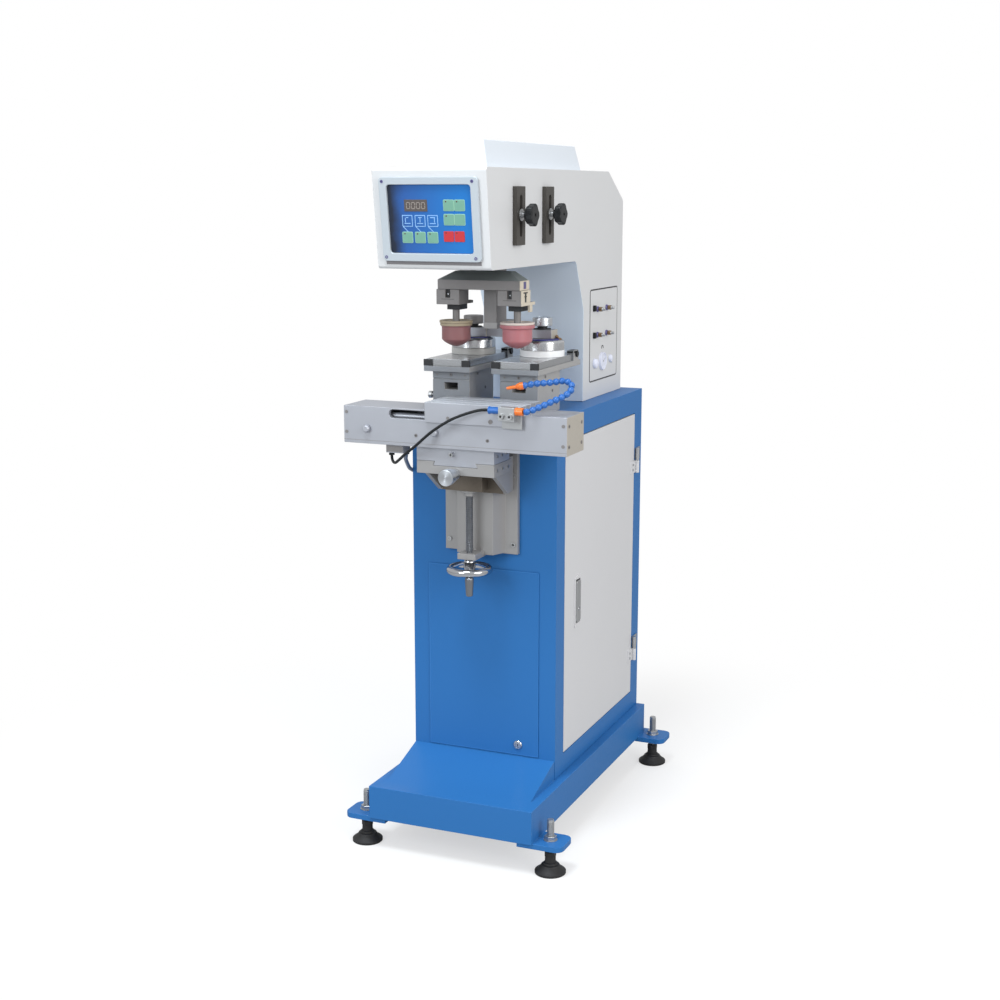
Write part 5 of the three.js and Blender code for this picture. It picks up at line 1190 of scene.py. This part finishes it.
holderSettings = {
    "shelfScrews": {"places": ((33, 1186.1), (27, 1188.4)), "start": -44.5, "end": -39, "radius": 2.2},
    "endPlate": [((97.03, -26, 1188.6), (98.3, 24, 1214.7)), ((97.03, -26, 1182.8), (99.2, 48, 1189)),
                 ((93, 22, 1168), (98.2, 36, 1183))],
    "marks": [((97.9, -15, 1208.6), (98.5, 8, 1211.4)), ((97.9, -7, 1190), (98.5, 1, 1208.6)),
              ((97.9, -10, 1201), (98.5, 3.4, 1203))],
}
shelf = holderSettings["shelfScrews"]
bm = bmesh.new()
for y, z in shelf["places"]:
    addRod(bm, at(shelf["start"], y, z), at(shelf["end"], y, z), shelf["radius"] * mm, 20)
finishPiece("shelfScrews", bm, "pad_unit_left", "darkSteel", "zinc")
boxPiece("holderEndPlate", "pad_unit_right", "creamBoard", "cream", holderSettings["endPlate"], 0.3)
boxPiece("holderEndMarks", "pad_unit_right", "blackAnodised", "black_plastic", holderSettings["marks"])

armSettings = {"brightBelow": 1123.3, "sleeve": ((-15.9, 37.6, 1128.8), (15.9, 121.4, 1141.8))}


# the cross bar is bright; its right-facing end gets a duller, warmer grey, painted on for the light that
# falls on that side
def armLook(normal, spot):
    if spot.z >= armSettings["brightBelow"]:
        return 0
    return 2 if normal.x > 0.7 else 1


dressNode("cup_arm", ["darkSteel", "brushedAluminium", "endGrey"], 0.9, choose=armLook)
boxPiece("armFootSleeve", "traverse", "groundSteel", "steel", [armSettings["sleeve"]], 0.8)

cupSettings = {
    "x": 82,
    "y": 135,
    "cupFoot": 1079.8,
    "ringFoot": 1065.3,
    "knobFoot": 1123.4,
    "cup": [(42.5, 0), (48, 0), (48.5, 0.6), (48.5, 15.5), (48, 17.8), (46.7, 19.7), (44.8, 21), (42.5, 21.5),
            (30.5, 21.5), (30, 21.7), (30, 23.6), (29.6, 24), (0, 24), (0, 15.5), (41.5, 15.5), (42.5, 14.5),
            (42.5, 0)],
    "ring": [(40, 0), (48.5, 0), (49, 0.5), (49, 12.2), (48.4, 13.6), (47, 14.2), (40.6, 14.2), (40, 13.6),
             (40, 0)],
    "band": [(30.2, 21.4), (38.8, 21.4), (39.2, 21.8), (39.2, 23.5), (38.7, 24), (30.2, 24), (30.2, 21.4)],
    "knob": {"radius": 22, "low": 7.5, "height": 18, "dips": 60, "dip": 0.1, "edge": 1.6},
    "bead": {"inner": 17.4, "outer": 18.2, "sunk": 0.05, "proud": 0.2},
    "neck": [(0, -17.9), (4.7, -17.9), (5, -17.5), (5, -0.2), (19.5, -0.2), (19.5, 1.3), (18.9, 1.8),
             (11.5, 1.8), (11.5, 2.4), (10.4, 2.9), (10.4, 4.4), (11.5, 4.9), (11.5, 8.2), (0, 8.2)],
    # the left cup's ring and knob are darker than the right ones: painted shade on the ring, a painted dark
    # reflection on the knob
    "left": {"ring": "ceramicDull", "knob": "darkSteel"},
    "right": {"ring": "ceramicRing", "knob": "turnedAluminium"},
    "fitting": [(0, -2), (3.6, -2), (3.6, 3), (2.6, 3.4), (2.6, 8), (3.8, 8.4), (3.8, 12.4), (2.6, 13.4),
                (0, 13.4)],
    "fittingPlace": at(113.5, 140, 1108),
    "fittingTurn": (0.78, 0, -0.62),
}


# a knob with fine upright grooves, its foot at a place and its axis along a direction
def addKnurledKnob(bm, place, direction, knob):
    turn = facing(direction, place)
    low, high, edge = knob["low"], knob["low"] + knob["height"], knob["edge"]
    steps = knob["dips"] * 4
    outline = ((low, edge * 0.7), (low + edge * 0.7, 0), (high - edge, 0), (high - edge * 0.3, edge * 0.3),
               (high, edge))
    rings = []
    for rise, drawn in outline:
        ring = []
        for step in range(steps):
            angle = 2 * pi * step / steps
            cutIn = knob["dip"] if step % 4 in (0, 1) and drawn == 0 else 0
            reach = knob["radius"] - drawn - cutIn
            ring.append(bm.verts.new(turn @ (Vector((reach * cos(angle), reach * sin(angle), rise)) * mm)))
        rings.append(ring)
    joinRings(bm, rings)


for side, sign in (("left", -1), ("right", 1)):
    x, y = sign * cupSettings["x"], cupSettings["y"]
    cupAt, knobAt = at(x, y, cupSettings["cupFoot"]), at(x, y, cupSettings["knobFoot"])
    bm = bmesh.new()
    addTurned(bm, cupSettings["cup"], cupAt, steps=96)
    standIn("ink_cup_" + side, bm, "cupSteel")
    bm = bmesh.new()
    addTurned(bm, cupSettings["ring"], at(x, y, cupSettings["ringFoot"]), steps=96)
    standIn("cup_ring_" + side, bm, cupSettings[side]["ring"])
    turnedPiece("cupBand" + side.capitalize(), "traverse", "cupBandBlue", "film", cupSettings["band"], cupAt,
                steps=64)
    knob, bead = cupSettings["knob"], cupSettings["bead"]
    knobTop = knob["low"] + knob["height"]
    bm = bmesh.new()
    addKnurledKnob(bm, knobAt, axisZ, knob)
    addTurned(bm, ringProfile(bead["inner"], bead["outer"], knobTop - bead["sunk"], knobTop + bead["proud"]),
              knobAt)
    addTurned(bm, cupSettings["neck"], knobAt, slotIndex=1)
    standIn("cup_knob_" + side, bm, [cupSettings[side]["knob"], "blackAnodised"])
turnedPiece("cupArmFitting", "traverse", "bronzeDark", "zinc", cupSettings["fitting"],
            cupSettings["fittingPlace"], Vector(cupSettings["fittingTurn"]), 24)

print("stage: plates and stands")
standSettings = {
    "x": 79,
    "rear": 245,
    "shownRear": 138,
    "trayRear": 238,
    "top": 1038,
    "etching": {"y": 40, "z": 1065, "rings": ((30, 0.5), (22, 0.4)), "arm": (16, 0.25), "rise": 0.06},
    "corner": {"outer": 54.4, "inner": 35, "front": -16.5, "rear": -12.4, "low": 1049.9, "high": 1063.9},
    "clamp": ((36.6, 195.6, 1065.1), (54.4, 226.4, 1072.9), (54.2, 211, 1064.5)),  # low, high, pin
    "clampPin": [(0, 0), (6.6, 0), (7, 0.4), (7, 3.4), (6.4, 4), (0, 4)],
    "frontScrews": ((0, 3.4, 1.4), (-33, 2.4, 0.9), (33, 2.4, 0.9)),
    "frontPlace": (6.8, 1029.5),
    "rightScrews": ((50, 1030), (92, 996), (35, 965), (118, 965)),
    "leftScrews": ((35, 1027), (118, 1027)),
    "sideScrew": (3.0, 1.1),
    "rearScrew": (4, 2.4),
    "rearPlace": (36, 137.8, 1029.5),
    "sideClampPlace": (-122.6, 14, 984),
    "side": 43.7,
    "sideClamp": [(0, 0), (3, 0), (3, 4), (7, 4), (7.6, 4.6), (7.6, 11), (6.8, 12), (0, 12)],
}


# the block under the tray ends well before the tray does
def shortenStand(bm):
    level = Vector((0, 0, standSettings["top"] * mm))
    rear = at(0, standSettings["trayRear"] - 1, 0).y
    parts = []
    for keep in (1, -1):
        part = bm.copy()
        geometry = part.verts[:] + part.edges[:] + part.faces[:]
        bmesh.ops.bisect_plane(part, geom=geometry, dist=0.000001, plane_co=level, plane_no=axisZ,
                               clear_inner=keep > 0, clear_outer=keep < 0)
        flat = [f for f in part.faces if all(abs(v.co.z - level.z) < weld for v in f.verts)]
        behind = [f for f in flat if min(v.co.y for v in f.verts) > rear]
        bmesh.ops.delete(part, geom=behind if keep > 0 else flat, context="FACES")
        for vert in part.verts:
            if keep < 0 and vert.co.y > rear:
                vert.co.y -= (standSettings["rear"] - standSettings["shownRear"]) * mm
        bmesh.ops.edgeloop_fill(part, edges=[e for e in part.edges if len(e.link_faces) == 1])
        bmesh.ops.recalc_face_normals(part, faces=part.faces)
        parts.append(part)
    bm.clear()
    for part in parts:
        shell = bpy.data.meshes.new("standShell")
        part.to_mesh(shell)
        part.free()
        bm.from_mesh(shell)
        bpy.data.meshes.remove(shell)


etching, trayCorner = standSettings["etching"], standSettings["corner"]
armLong, armWide = etching["arm"]
for side, sign in (("left", -1), ("right", 1)):
    x = sign * standSettings["x"]
    tag = side.capitalize()
    etchedAt = at(x, etching["y"], etching["z"])
    dressNode("cliche_plate_" + side, "etchedPlate", 0.5)
    bm = bmesh.new()
    for radius, width in etching["rings"]:
        addTurned(bm, ringProfile(radius, radius + width, 0, etching["rise"]), etchedAt, steps=64)
    for turn in (0, 90):
        addBox(bm, Vector((-armLong, -armWide, 0)) * mm, Vector((armLong, armWide, etching["rise"])) * mm,
               Matrix.Translation(etchedAt) @ Matrix.Rotation(radians(turn), 4, "Z"))
    finishPiece("plateEtching" + tag, bm, "stand", "darkSteel", "steel")
    # the stand's front faces get a darker, bluer copy of its steel: painted shade and dark reflection
    dressNode("plate_stand_" + side, ["standSteel", "standFront"], 0.9, reshape=shortenStand,
              choose=lambda normal, spot: normal.y < -0.9)
    cornerBoxes = []
    for edge in (-1, 1):
        outer, inner = sorted((x + edge * trayCorner["outer"], x + edge * trayCorner["inner"]))
        cornerBoxes.append(((outer, trayCorner["front"], trayCorner["low"]),
                            (inner, trayCorner["rear"], trayCorner["high"])))
    boxPiece("trayCorners" + tag, "stand", "blackAnodised", "black_plastic", cornerBoxes, 0.8)
    low, high, pin = shifted(x, standSettings["clamp"])
    bm = bmesh.new()
    addBox(bm, low, high)
    roundEdges(bm, 3, 4)
    addTurned(bm, standSettings["clampPin"], pin, axisX, 32)
    finishPiece("rearClamp" + tag, bm, "stand", "blackPlastic", "black_plastic")
    rows = [(at(x + across, *standSettings["frontPlace"]), -axisY, *size)
            for across, *size in standSettings["frontScrews"]]
    rows += [(at(x + standSettings["side"], y, z), axisX, *standSettings["sideScrew"])
             for y, z in standSettings["rightScrews"]]
    rows.append((*shifted(x, [standSettings["rearPlace"]]), axisY, *standSettings["rearScrew"]))
    rows += [(at(x - standSettings["side"], y, z), -axisX, *standSettings["sideScrew"])
             for y, z in standSettings["leftScrews"]]
    screwSet("standScrews" + tag, "stand", rows, "darkSteel", "dark_steel")
turnedPiece("standClampScrew", "stand", "zincPlate", "zinc", standSettings["sideClamp"],
            at(*standSettings["sideClampPlace"]), -axisX, 32)

print("stage: lift")
liftSettings = {
    "y": -75,
    "plateFront": -12.4,
    "plateScrews": ((-75, 673), (75.5, 671), (-75, 822), (75.5, 822)),
    "plateScrew": (5.2, 2.6),
    "thread": {"core": 7.0, "crest": 8.0, "pitch": 4.0, "low": 664, "high": 822},
    "shaft": {"low": 618, "high": 664.5, "radius": 6},
    "end": [(0, 0), (7.6, 0), (6, 2), (0, 2)],
    "nut": [(8.4, 0), (17, 0), (18, -1), (18, -3), (17, -4), (12, -4), (11, -5), (11, -12), (8.4, -12),
            (8.4, 0)],
    "nutTop": 797,
}
dressNode("z_slide_plate", "groundSteel", 0.8)
plateRows = [(at(x, liftSettings["plateFront"], z), -axisY, *liftSettings["plateScrew"])
             for x, z in liftSettings["plateScrews"]]
screwSet("slidePlateScrews", "stand", plateRows)
screwY, thread, shaft = liftSettings["y"], liftSettings["thread"], liftSettings["shaft"]
bm = bmesh.new()
addThread(bm, at(0, screwY, 0), axisZ, thread)
addRod(bm, at(0, screwY, shaft["low"]), at(0, screwY, shaft["high"]), shaft["radius"] * mm, 32)
addTurned(bm, liftSettings["end"], at(0, screwY, thread["high"]), steps=32)
standIn("lead_screw", bm, "screwSteel")

wheelSettings = {
    "centre": at(0, -75, 624),
    "reach": 42.5,
    "rim": {"wide": 7.5, "tall": 8.4, "steps": 24},
    "hub": [(6.3, -8.8), (12.4, -8.8), (13, -8.2), (13, 15), (11.2, 19.6), (9.4, 23), (8.4, 23.3),
            (6.3, 23.3), (6.3, -8.8)],
    "spokes": 3,
    "spoke": ((8, 14, 12.5, 5), (18, 10.5, 11.5, 3.6), (28, 6, 10.5, 3.2), (38, 1.6, 12.5, 3.6)),
    "spokeSteps": 16,
    "angle": radians(-66.6),
    "handle": [(0, -48.4), (5.2, -48.4), (6.6, -47.8), (7.5, -46.4), (7.9, -38), (8.6, -27), (9.3, -16),
               (9.5, -11.4), (8.8, -9.4), (7.4, -8), (4, -7.9), (4, 3.0), (0, 3.0)],
}
wheel, rim, rimSteps = wheelSettings["centre"], wheelSettings["rim"], wheelSettings["rim"]["steps"]
bm = bmesh.new()
rimAngles = [2 * pi * step / rimSteps for step in range(rimSteps + 1)]
rimProfile = [(wheelSettings["reach"] + rim["wide"] * cos(a), rim["tall"] * sin(a)) for a in rimAngles]
addTurned(bm, rimProfile, wheel, steps=96)
addTurned(bm, wheelSettings["hub"], wheel)
spokeAngles = [2 * pi * step / wheelSettings["spokeSteps"] for step in range(wheelSettings["spokeSteps"])]
for index in range(wheelSettings["spokes"]):
    spokeAngle = wheelSettings["angle"] + 2 * pi * index / wheelSettings["spokes"]
    turn = Matrix.Translation(wheel) @ Matrix.Rotation(spokeAngle, 4, "Z")
    rings = []
    for reach, middle, half, thick in wheelSettings["spoke"]:
        places = [Vector((reach, half * cos(a), middle + thick * sin(a))) * mm for a in spokeAngles]
        rings.append([bm.verts.new(turn @ place) for place in places])
    joinRings(bm, rings)
standIn("handwheel", bm, "chromePlate", sharp=40)
grip = Vector((cos(wheelSettings["angle"]), sin(wheelSettings["angle"]), 0)) * wheelSettings["reach"] * mm
bm = bmesh.new()
addTurned(bm, wheelSettings["handle"], wheel + grip)
standIn("wheel_handle", bm, "screwSteel")

# painted highlight: a lighter blue line round the lift-off service panel, laid over the gap, for the panel's
# edges catching the light
seamSettings = {"half": 0.7, "proud": 0.25, "sunk": 0.2}
seam, front, back = seamSettings["half"], seamSettings["proud"], seamSettings["sunk"]
low, high = (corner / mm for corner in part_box("front_service_panel"))
bm = bmesh.new()
for x in (low.x, high.x):
    addBox(bm, Vector((x - seam, low.y - front, low.z)) * mm, Vector((x + seam, low.y + back, high.z)) * mm)
for z in (low.z, high.z):
    addBox(bm, Vector((low.x - seam, low.y - front, z - seam)) * mm,
           Vector((high.x + seam, low.y + back, z + seam)) * mm)
finishPiece("panelSeam", bm, "stand", "seamBlue", "blue_paint")

print("stage: knee and cross slide")
kneeSettings = {
    "shade": {"half": 46, "below": 840, "before": -40},
    "side": 88.1,
    "screws": {"z": 853, "places": (-130, -100, -72), "size": (3.2, 1.4)},
    "gibScrews": {"z": 882, "places": (-128, -104, -80), "size": (3.0, 1.3)},
    "clampPin": {"place": (-5, -156.1, 884), "size": (4.6, 2.4)},
}


# between the gussets, below the cross slide, the faces lie in shade
def inShade(normal, spot):
    shade = kneeSettings["shade"]
    between = abs(spot.x) < shade["half"] and spot.y < shade["before"]
    return between and spot.z < shade["below"] and normal.z < 0.9


# a row of screws in the right side of the knee or of the slide
def sideRow(row):
    return [(at(kneeSettings["side"], y, row["z"]), axisX, *row["size"]) for y in row["places"]]


dressNode("knee_bracket", ["groundSteel", "kneeShade"], 0.9, choose=inShade)
screwSet("kneeScrews", "knee", sideRow(kneeSettings["screws"]))
turnedPiece("liftNut", "knee", "groundSteel", "steel", liftSettings["nut"],
            at(0, screwY, liftSettings["nutTop"]))

crossKnobSettings = {
    "place": at(0, -169, 842),
    "outer": {"radius": 17.2, "low": 12.5, "height": 13.5, "dips": 48, "dip": 0.14, "edge": 1.2},
    "inner": {"radius": 15.6, "low": 0, "height": 9.5, "dips": 48, "dip": 0.14, "edge": 1.2},
    "groove": [(0, 9), (13.2, 9), (13.2, 13), (0, 13)],
    "facePlace": at(0, -195, 842),
    "face": [(0, 0.1), (3.2, 0.1), (3.6, -0.6), (6, -0.6), (6.4, 0.1), (15.2, 0.1), (15.5, -0.4), (0, -0.4)],
    "shaft": [(0, 0.6), (4.6, 0.6), (5, 0), (12, 0), (12, -21.1), (5, -21.1), (5, -68.6), (0, -68.6)],
}
crossKnob = crossKnobSettings["place"]
bm = bmesh.new()
addKnurledKnob(bm, crossKnob, -axisY, crossKnobSettings["outer"])
addKnurledKnob(bm, crossKnob, -axisY, crossKnobSettings["inner"])
addTurned(bm, crossKnobSettings["groove"], crossKnob, -axisY)
addTurned(bm, crossKnobSettings["face"], crossKnobSettings["facePlace"], -axisY, 40)
addTurned(bm, crossKnobSettings["shaft"], crossKnob, -axisY)
for face in bm.faces:
    if face.normal.y < -0.9:
        face.material_index = 1
standIn("cross_slide_knob", bm, ["brightAluminium", "spunAluminium"])
dressNode("dovetail_slide", "brushedAluminium", 0.9)
screwSet("gibScrews", "cross_slide", sideRow(kneeSettings["gibScrews"]))
pin = kneeSettings["clampPin"]
screwSet("clampPinHead", "cross_slide", [(at(*pin["place"]), -axisY, *pin["size"])])

print("stage: shuttle")
housingSettings = {
    "endBeyond": 251.4,
    "frontScrews": ((-245, 962), (-245, 920), (-82.6, 920.5), (79, 919), (244, 958), (243.5, 917)),
    "endScrews": ((-148, 957), (-76, 957), (-148, 915), (-76, 915)),
    "screw": (3.6, 1.0),
    "end": 251.8,
    "front": -160.1,
    "seam": ((-251.5, -160.25, 903.4), (251.3, -159.9, 904.2)),
    "hosePlace": (-129, -112, 878.7),
    "tubePlace": (-149.5, -140, 878.7),
    "hoseFitting": [(0, 0), (4.4, 0), (4.4, 2), (6.2, 2), (6.2, 7), (4.8, 7.6), (0, 7.6)],
    "tubeFitting": [(2.7, 0.4), (4.8, 0.4), (4.8, 1.6), (6, 2), (6, 6), (2.7, 6), (2.7, 0.4)],
    "valveFace": ((-157, -150.6, 881), (-119, -150, 894)),
}
# the housing's right end face gets the same duller, warmer grey, painted on for the light that falls on that
# side
dressNode("shuttle_housing", ["brushedAluminium", "endGrey"], 0.9,
          choose=lambda normal, spot: normal.x > 0.9 and spot.x > housingSettings["endBeyond"])
screw = housingSettings["screw"]
housingRows = [(at(x, housingSettings["front"], z), -axisY, *screw)
               for x, z in housingSettings["frontScrews"]]
for side in (1, -1):
    housingRows += [(at(side * housingSettings["end"], y, z), axisX * side, *screw)
                    for y, z in housingSettings["endScrews"]]
screwSet("housingScrews", "cross_slide", housingRows, "darkSteel", "dark_steel")
boxPiece("housingSeams", "cross_slide", "darkSteel", "dark_steel", [housingSettings["seam"]])
bm = bmesh.new()
addTurned(bm, housingSettings["hoseFitting"], at(*housingSettings["hosePlace"]), -axisZ, 24)
addTurned(bm, housingSettings["tubeFitting"], at(*housingSettings["tubePlace"]), -axisZ, 24)
finishPiece("valveFittings", bm, "cross_slide", "blackPlastic", "black_plastic")
boxPiece("valveFace", "cross_slide", "darkSteel", "dark_steel", [housingSettings["valveFace"]])

# the carriage's up-facing faces get a lighter, bluer copy of its aluminium: painted light from above
dressNode("shuttle_carriage", ["brushedAluminium", "slideTop"], 0.8,
          choose=lambda normal, spot: normal.z > 0.9)
carriageSettings = {"screws": (((-6, -168.1, 962), 3.4, 1.0), ((89, -168.1, 959.5), 4.6, 1.4))}
carriageRows = [(at(*place), -axisY, *size) for place, *size in carriageSettings["screws"]]
screwSet("carriageScrews", "shuttle", carriageRows, "darkSteel", "dark_steel")

manifoldSettings = {
    "blueBefore": 114.6,
    "orangeBeyond": 150.4,
    "orangeAbove": 977.6,
    "fitting": [(0, 0.2), (7.4, 0.2), (7.4, 3), (7, 3.4), (7, 9), (8, 9.4), (8, 12.4), (0, 12.4)],
    "fittingPlace": (104, -181, 985.6),
    "bolts": {"Left": (123, -194.2, 976.1), "Right": (142, -194.2, 976.1)},
    "bolt": (5.4, 3),
}


def manifoldLook(normal, spot):
    if spot.x < manifoldSettings["blueBefore"]:
        return 1
    return 2 if spot.x > manifoldSettings["orangeBeyond"] and spot.z > manifoldSettings["orangeAbove"] else 0


dressNode("air_manifold", ["zincPlate", "hoseBlue", "hoseOrange"], 0.7, choose=manifoldLook)
turnedPiece("tubeFitting", "shuttle", "hoseBlue", "hose_blue", manifoldSettings["fitting"],
            at(*manifoldSettings["fittingPlace"]), -axisX, 32)
for tag, place in manifoldSettings["bolts"].items():
    screwSet("manifoldBolt" + tag, "shuttle", [(at(*place), -axisY, *manifoldSettings["bolt"])])

print("stage: ball hose")
hoseSettings = {
    "route": [(166.9, -181, 985.6), (171, -181, 985.6), (181, -174, 988.5), (194, -163, 994.5),
              (206, -153, 1000.5), (217, -144, 1006), (227, -135, 1011), (236, -126, 1016.5),
              (241.5, -117.5, 1023), (242.3, -109, 1030.5), (238, -103, 1036.5), (228, -99.5, 1040.5),
              (215, -99, 1041), (202, -100.5, 1038.5), (188, -103, 1036.5), (174.5, -107, 1035.5),
              (161, -111, 1034), (147.5, -115, 1031.5), (136.5, -118.3, 1029.5)],
    "balls": 18,
    "split": 9,
    "gap": 0.3,
    "profile": [(0, -6.2), (4.4, -6.2), (4.7, -5.6), (5.1, -4.6), (6.3, -3.2), (6.9, -1.2), (6.9, 0.8),
                (6.4, 2.8), (5.5, 4.4), (5.0, 5.2), (4.4, 6.2), (0, 6.2)],
    "nozzle": [(0, -4), (7.2, -4), (7.6, -3.4), (7.6, 3.6), (7.2, 4.2), (5.2, 10), (3.7, 11), (3.3, 22),
               (2.9, 29.6), (2.4, 31), (1.2, 31), (1.2, 20), (0, 20)],
}
ballPoints = smoothRoute(hoseSettings["route"], 2 * hoseSettings["balls"] + 1)[0]
split = hoseSettings["split"]
# the balls beside the split stand a little apart, so that both lengths can swing
apart = {split - 1: -hoseSettings["gap"], split: hoseSettings["gap"]}
for part, first, last in (("Lower", 0, split), ("Upper", split, hoseSettings["balls"])):
    bm = bmesh.new()
    for index in range(first, last):
        heading = (ballPoints[2 * index + 2] - ballPoints[2 * index]).normalized()
        middle = ballPoints[2 * index + 1] + heading * apart.get(index, 0) * mm
        addTurned(bm, hoseSettings["profile"], middle, heading, 28)
    finishPiece("ballHose" + part, bm, "hose_" + part.lower(), "hoseBlue", "hose_blue", merge=False,
                replaced=["air_hose_" + part.lower()])
turnedPiece("airNozzle", "hose_upper", "hoseOrange", "hose_blue", hoseSettings["nozzle"], ballPoints[-1],
            (ballPoints[-1] - ballPoints[-2]).normalized(), 40)

print("stage: cabinet inside and rear")
insideSettings = {
    "backPlate": ((-150, 566, 230), (150, 569, 860)),
    "louvres": {"count": 7, "x": 72, "y": 576, "top": 846.5, "step": 22, "lean": -40, "low": (-54, -5, -0.6),
                "high": (54, 1.2, 0.6)},
    "glandPlace": (60, 577, 240),
    "gland": [(6, 5), (9, 5), (11, 4), (14.5, 3.6), (15, 3), (15, 0.2), (12.7, 0.2), (12.7, -3.2), (6, -3.2),
              (6, 5)],
    "boxes": [((-130, 500, 700), (-20, 566.2, 800)), ((0, 500, 690), (60, 566.2, 810)),
              ((75, 500, 720), (130, 566.2, 800)), ((-120, 520, 560), (120, 566.2, 620))],
    "valves": {"count": 8, "first": -118, "step": 30, "wide": 22, "front": 505, "low": 400, "high": 470},
    "rail": ((-128, 512, 380), (128, 566.2, 400)),
    "rowBack": 566.2,
    "terminals": {"count": 20, "first": -118, "step": 12, "wide": 10, "front": 540, "low": 640,
                  "high": 672},
}
boxPiece("backPlate", "stand", "zincPlate", "zinc", [insideSettings["backPlate"]])
louvres = insideSettings["louvres"]
bm = bmesh.new()
for index in range(louvres["count"]):
    for side in (-1, 1):
        middle = at(side * louvres["x"], louvres["y"], louvres["top"] - index * louvres["step"])
        addBox(bm, Vector(louvres["low"]) * mm, Vector(louvres["high"]) * mm,
               Matrix.Translation(middle) @ Matrix.Rotation(radians(louvres["lean"]), 4, "X"))
finishPiece("louvreBlades", bm, "stand", "bluePaint", "blue_paint")
for side, tag in ((-1, "Left"), (1, "Right")):
    x, y, z = insideSettings["glandPlace"]
    turnedPiece("cableGland" + tag, "stand", "blackPlastic", "black_plastic", insideSettings["gland"],
                at(side * x, y, z), axisY, 40)
boxPiece("controlBoxes", "stand", "blackAnodised", "black_plastic", insideSettings["boxes"], 2)


# boxes of one width side by side
def boxRow(row):
    starts = [row["first"] + index * row["step"] for index in range(row["count"])]
    back = insideSettings["rowBack"]
    return [((x, row["front"], row["low"]), (x + row["wide"], back, row["high"])) for x in starts]


boxPiece("airValves", "stand", "brushedAluminium", "aluminium", boxRow(insideSettings["valves"]), 1.5)
boxPiece("valveRail", "stand", "blackAnodised", "black_plastic", [insideSettings["rail"]], 1)
boxPiece("terminalBlocks", "stand", "boardGreen", "zinc", boxRow(insideSettings["terminals"]), 0.8)
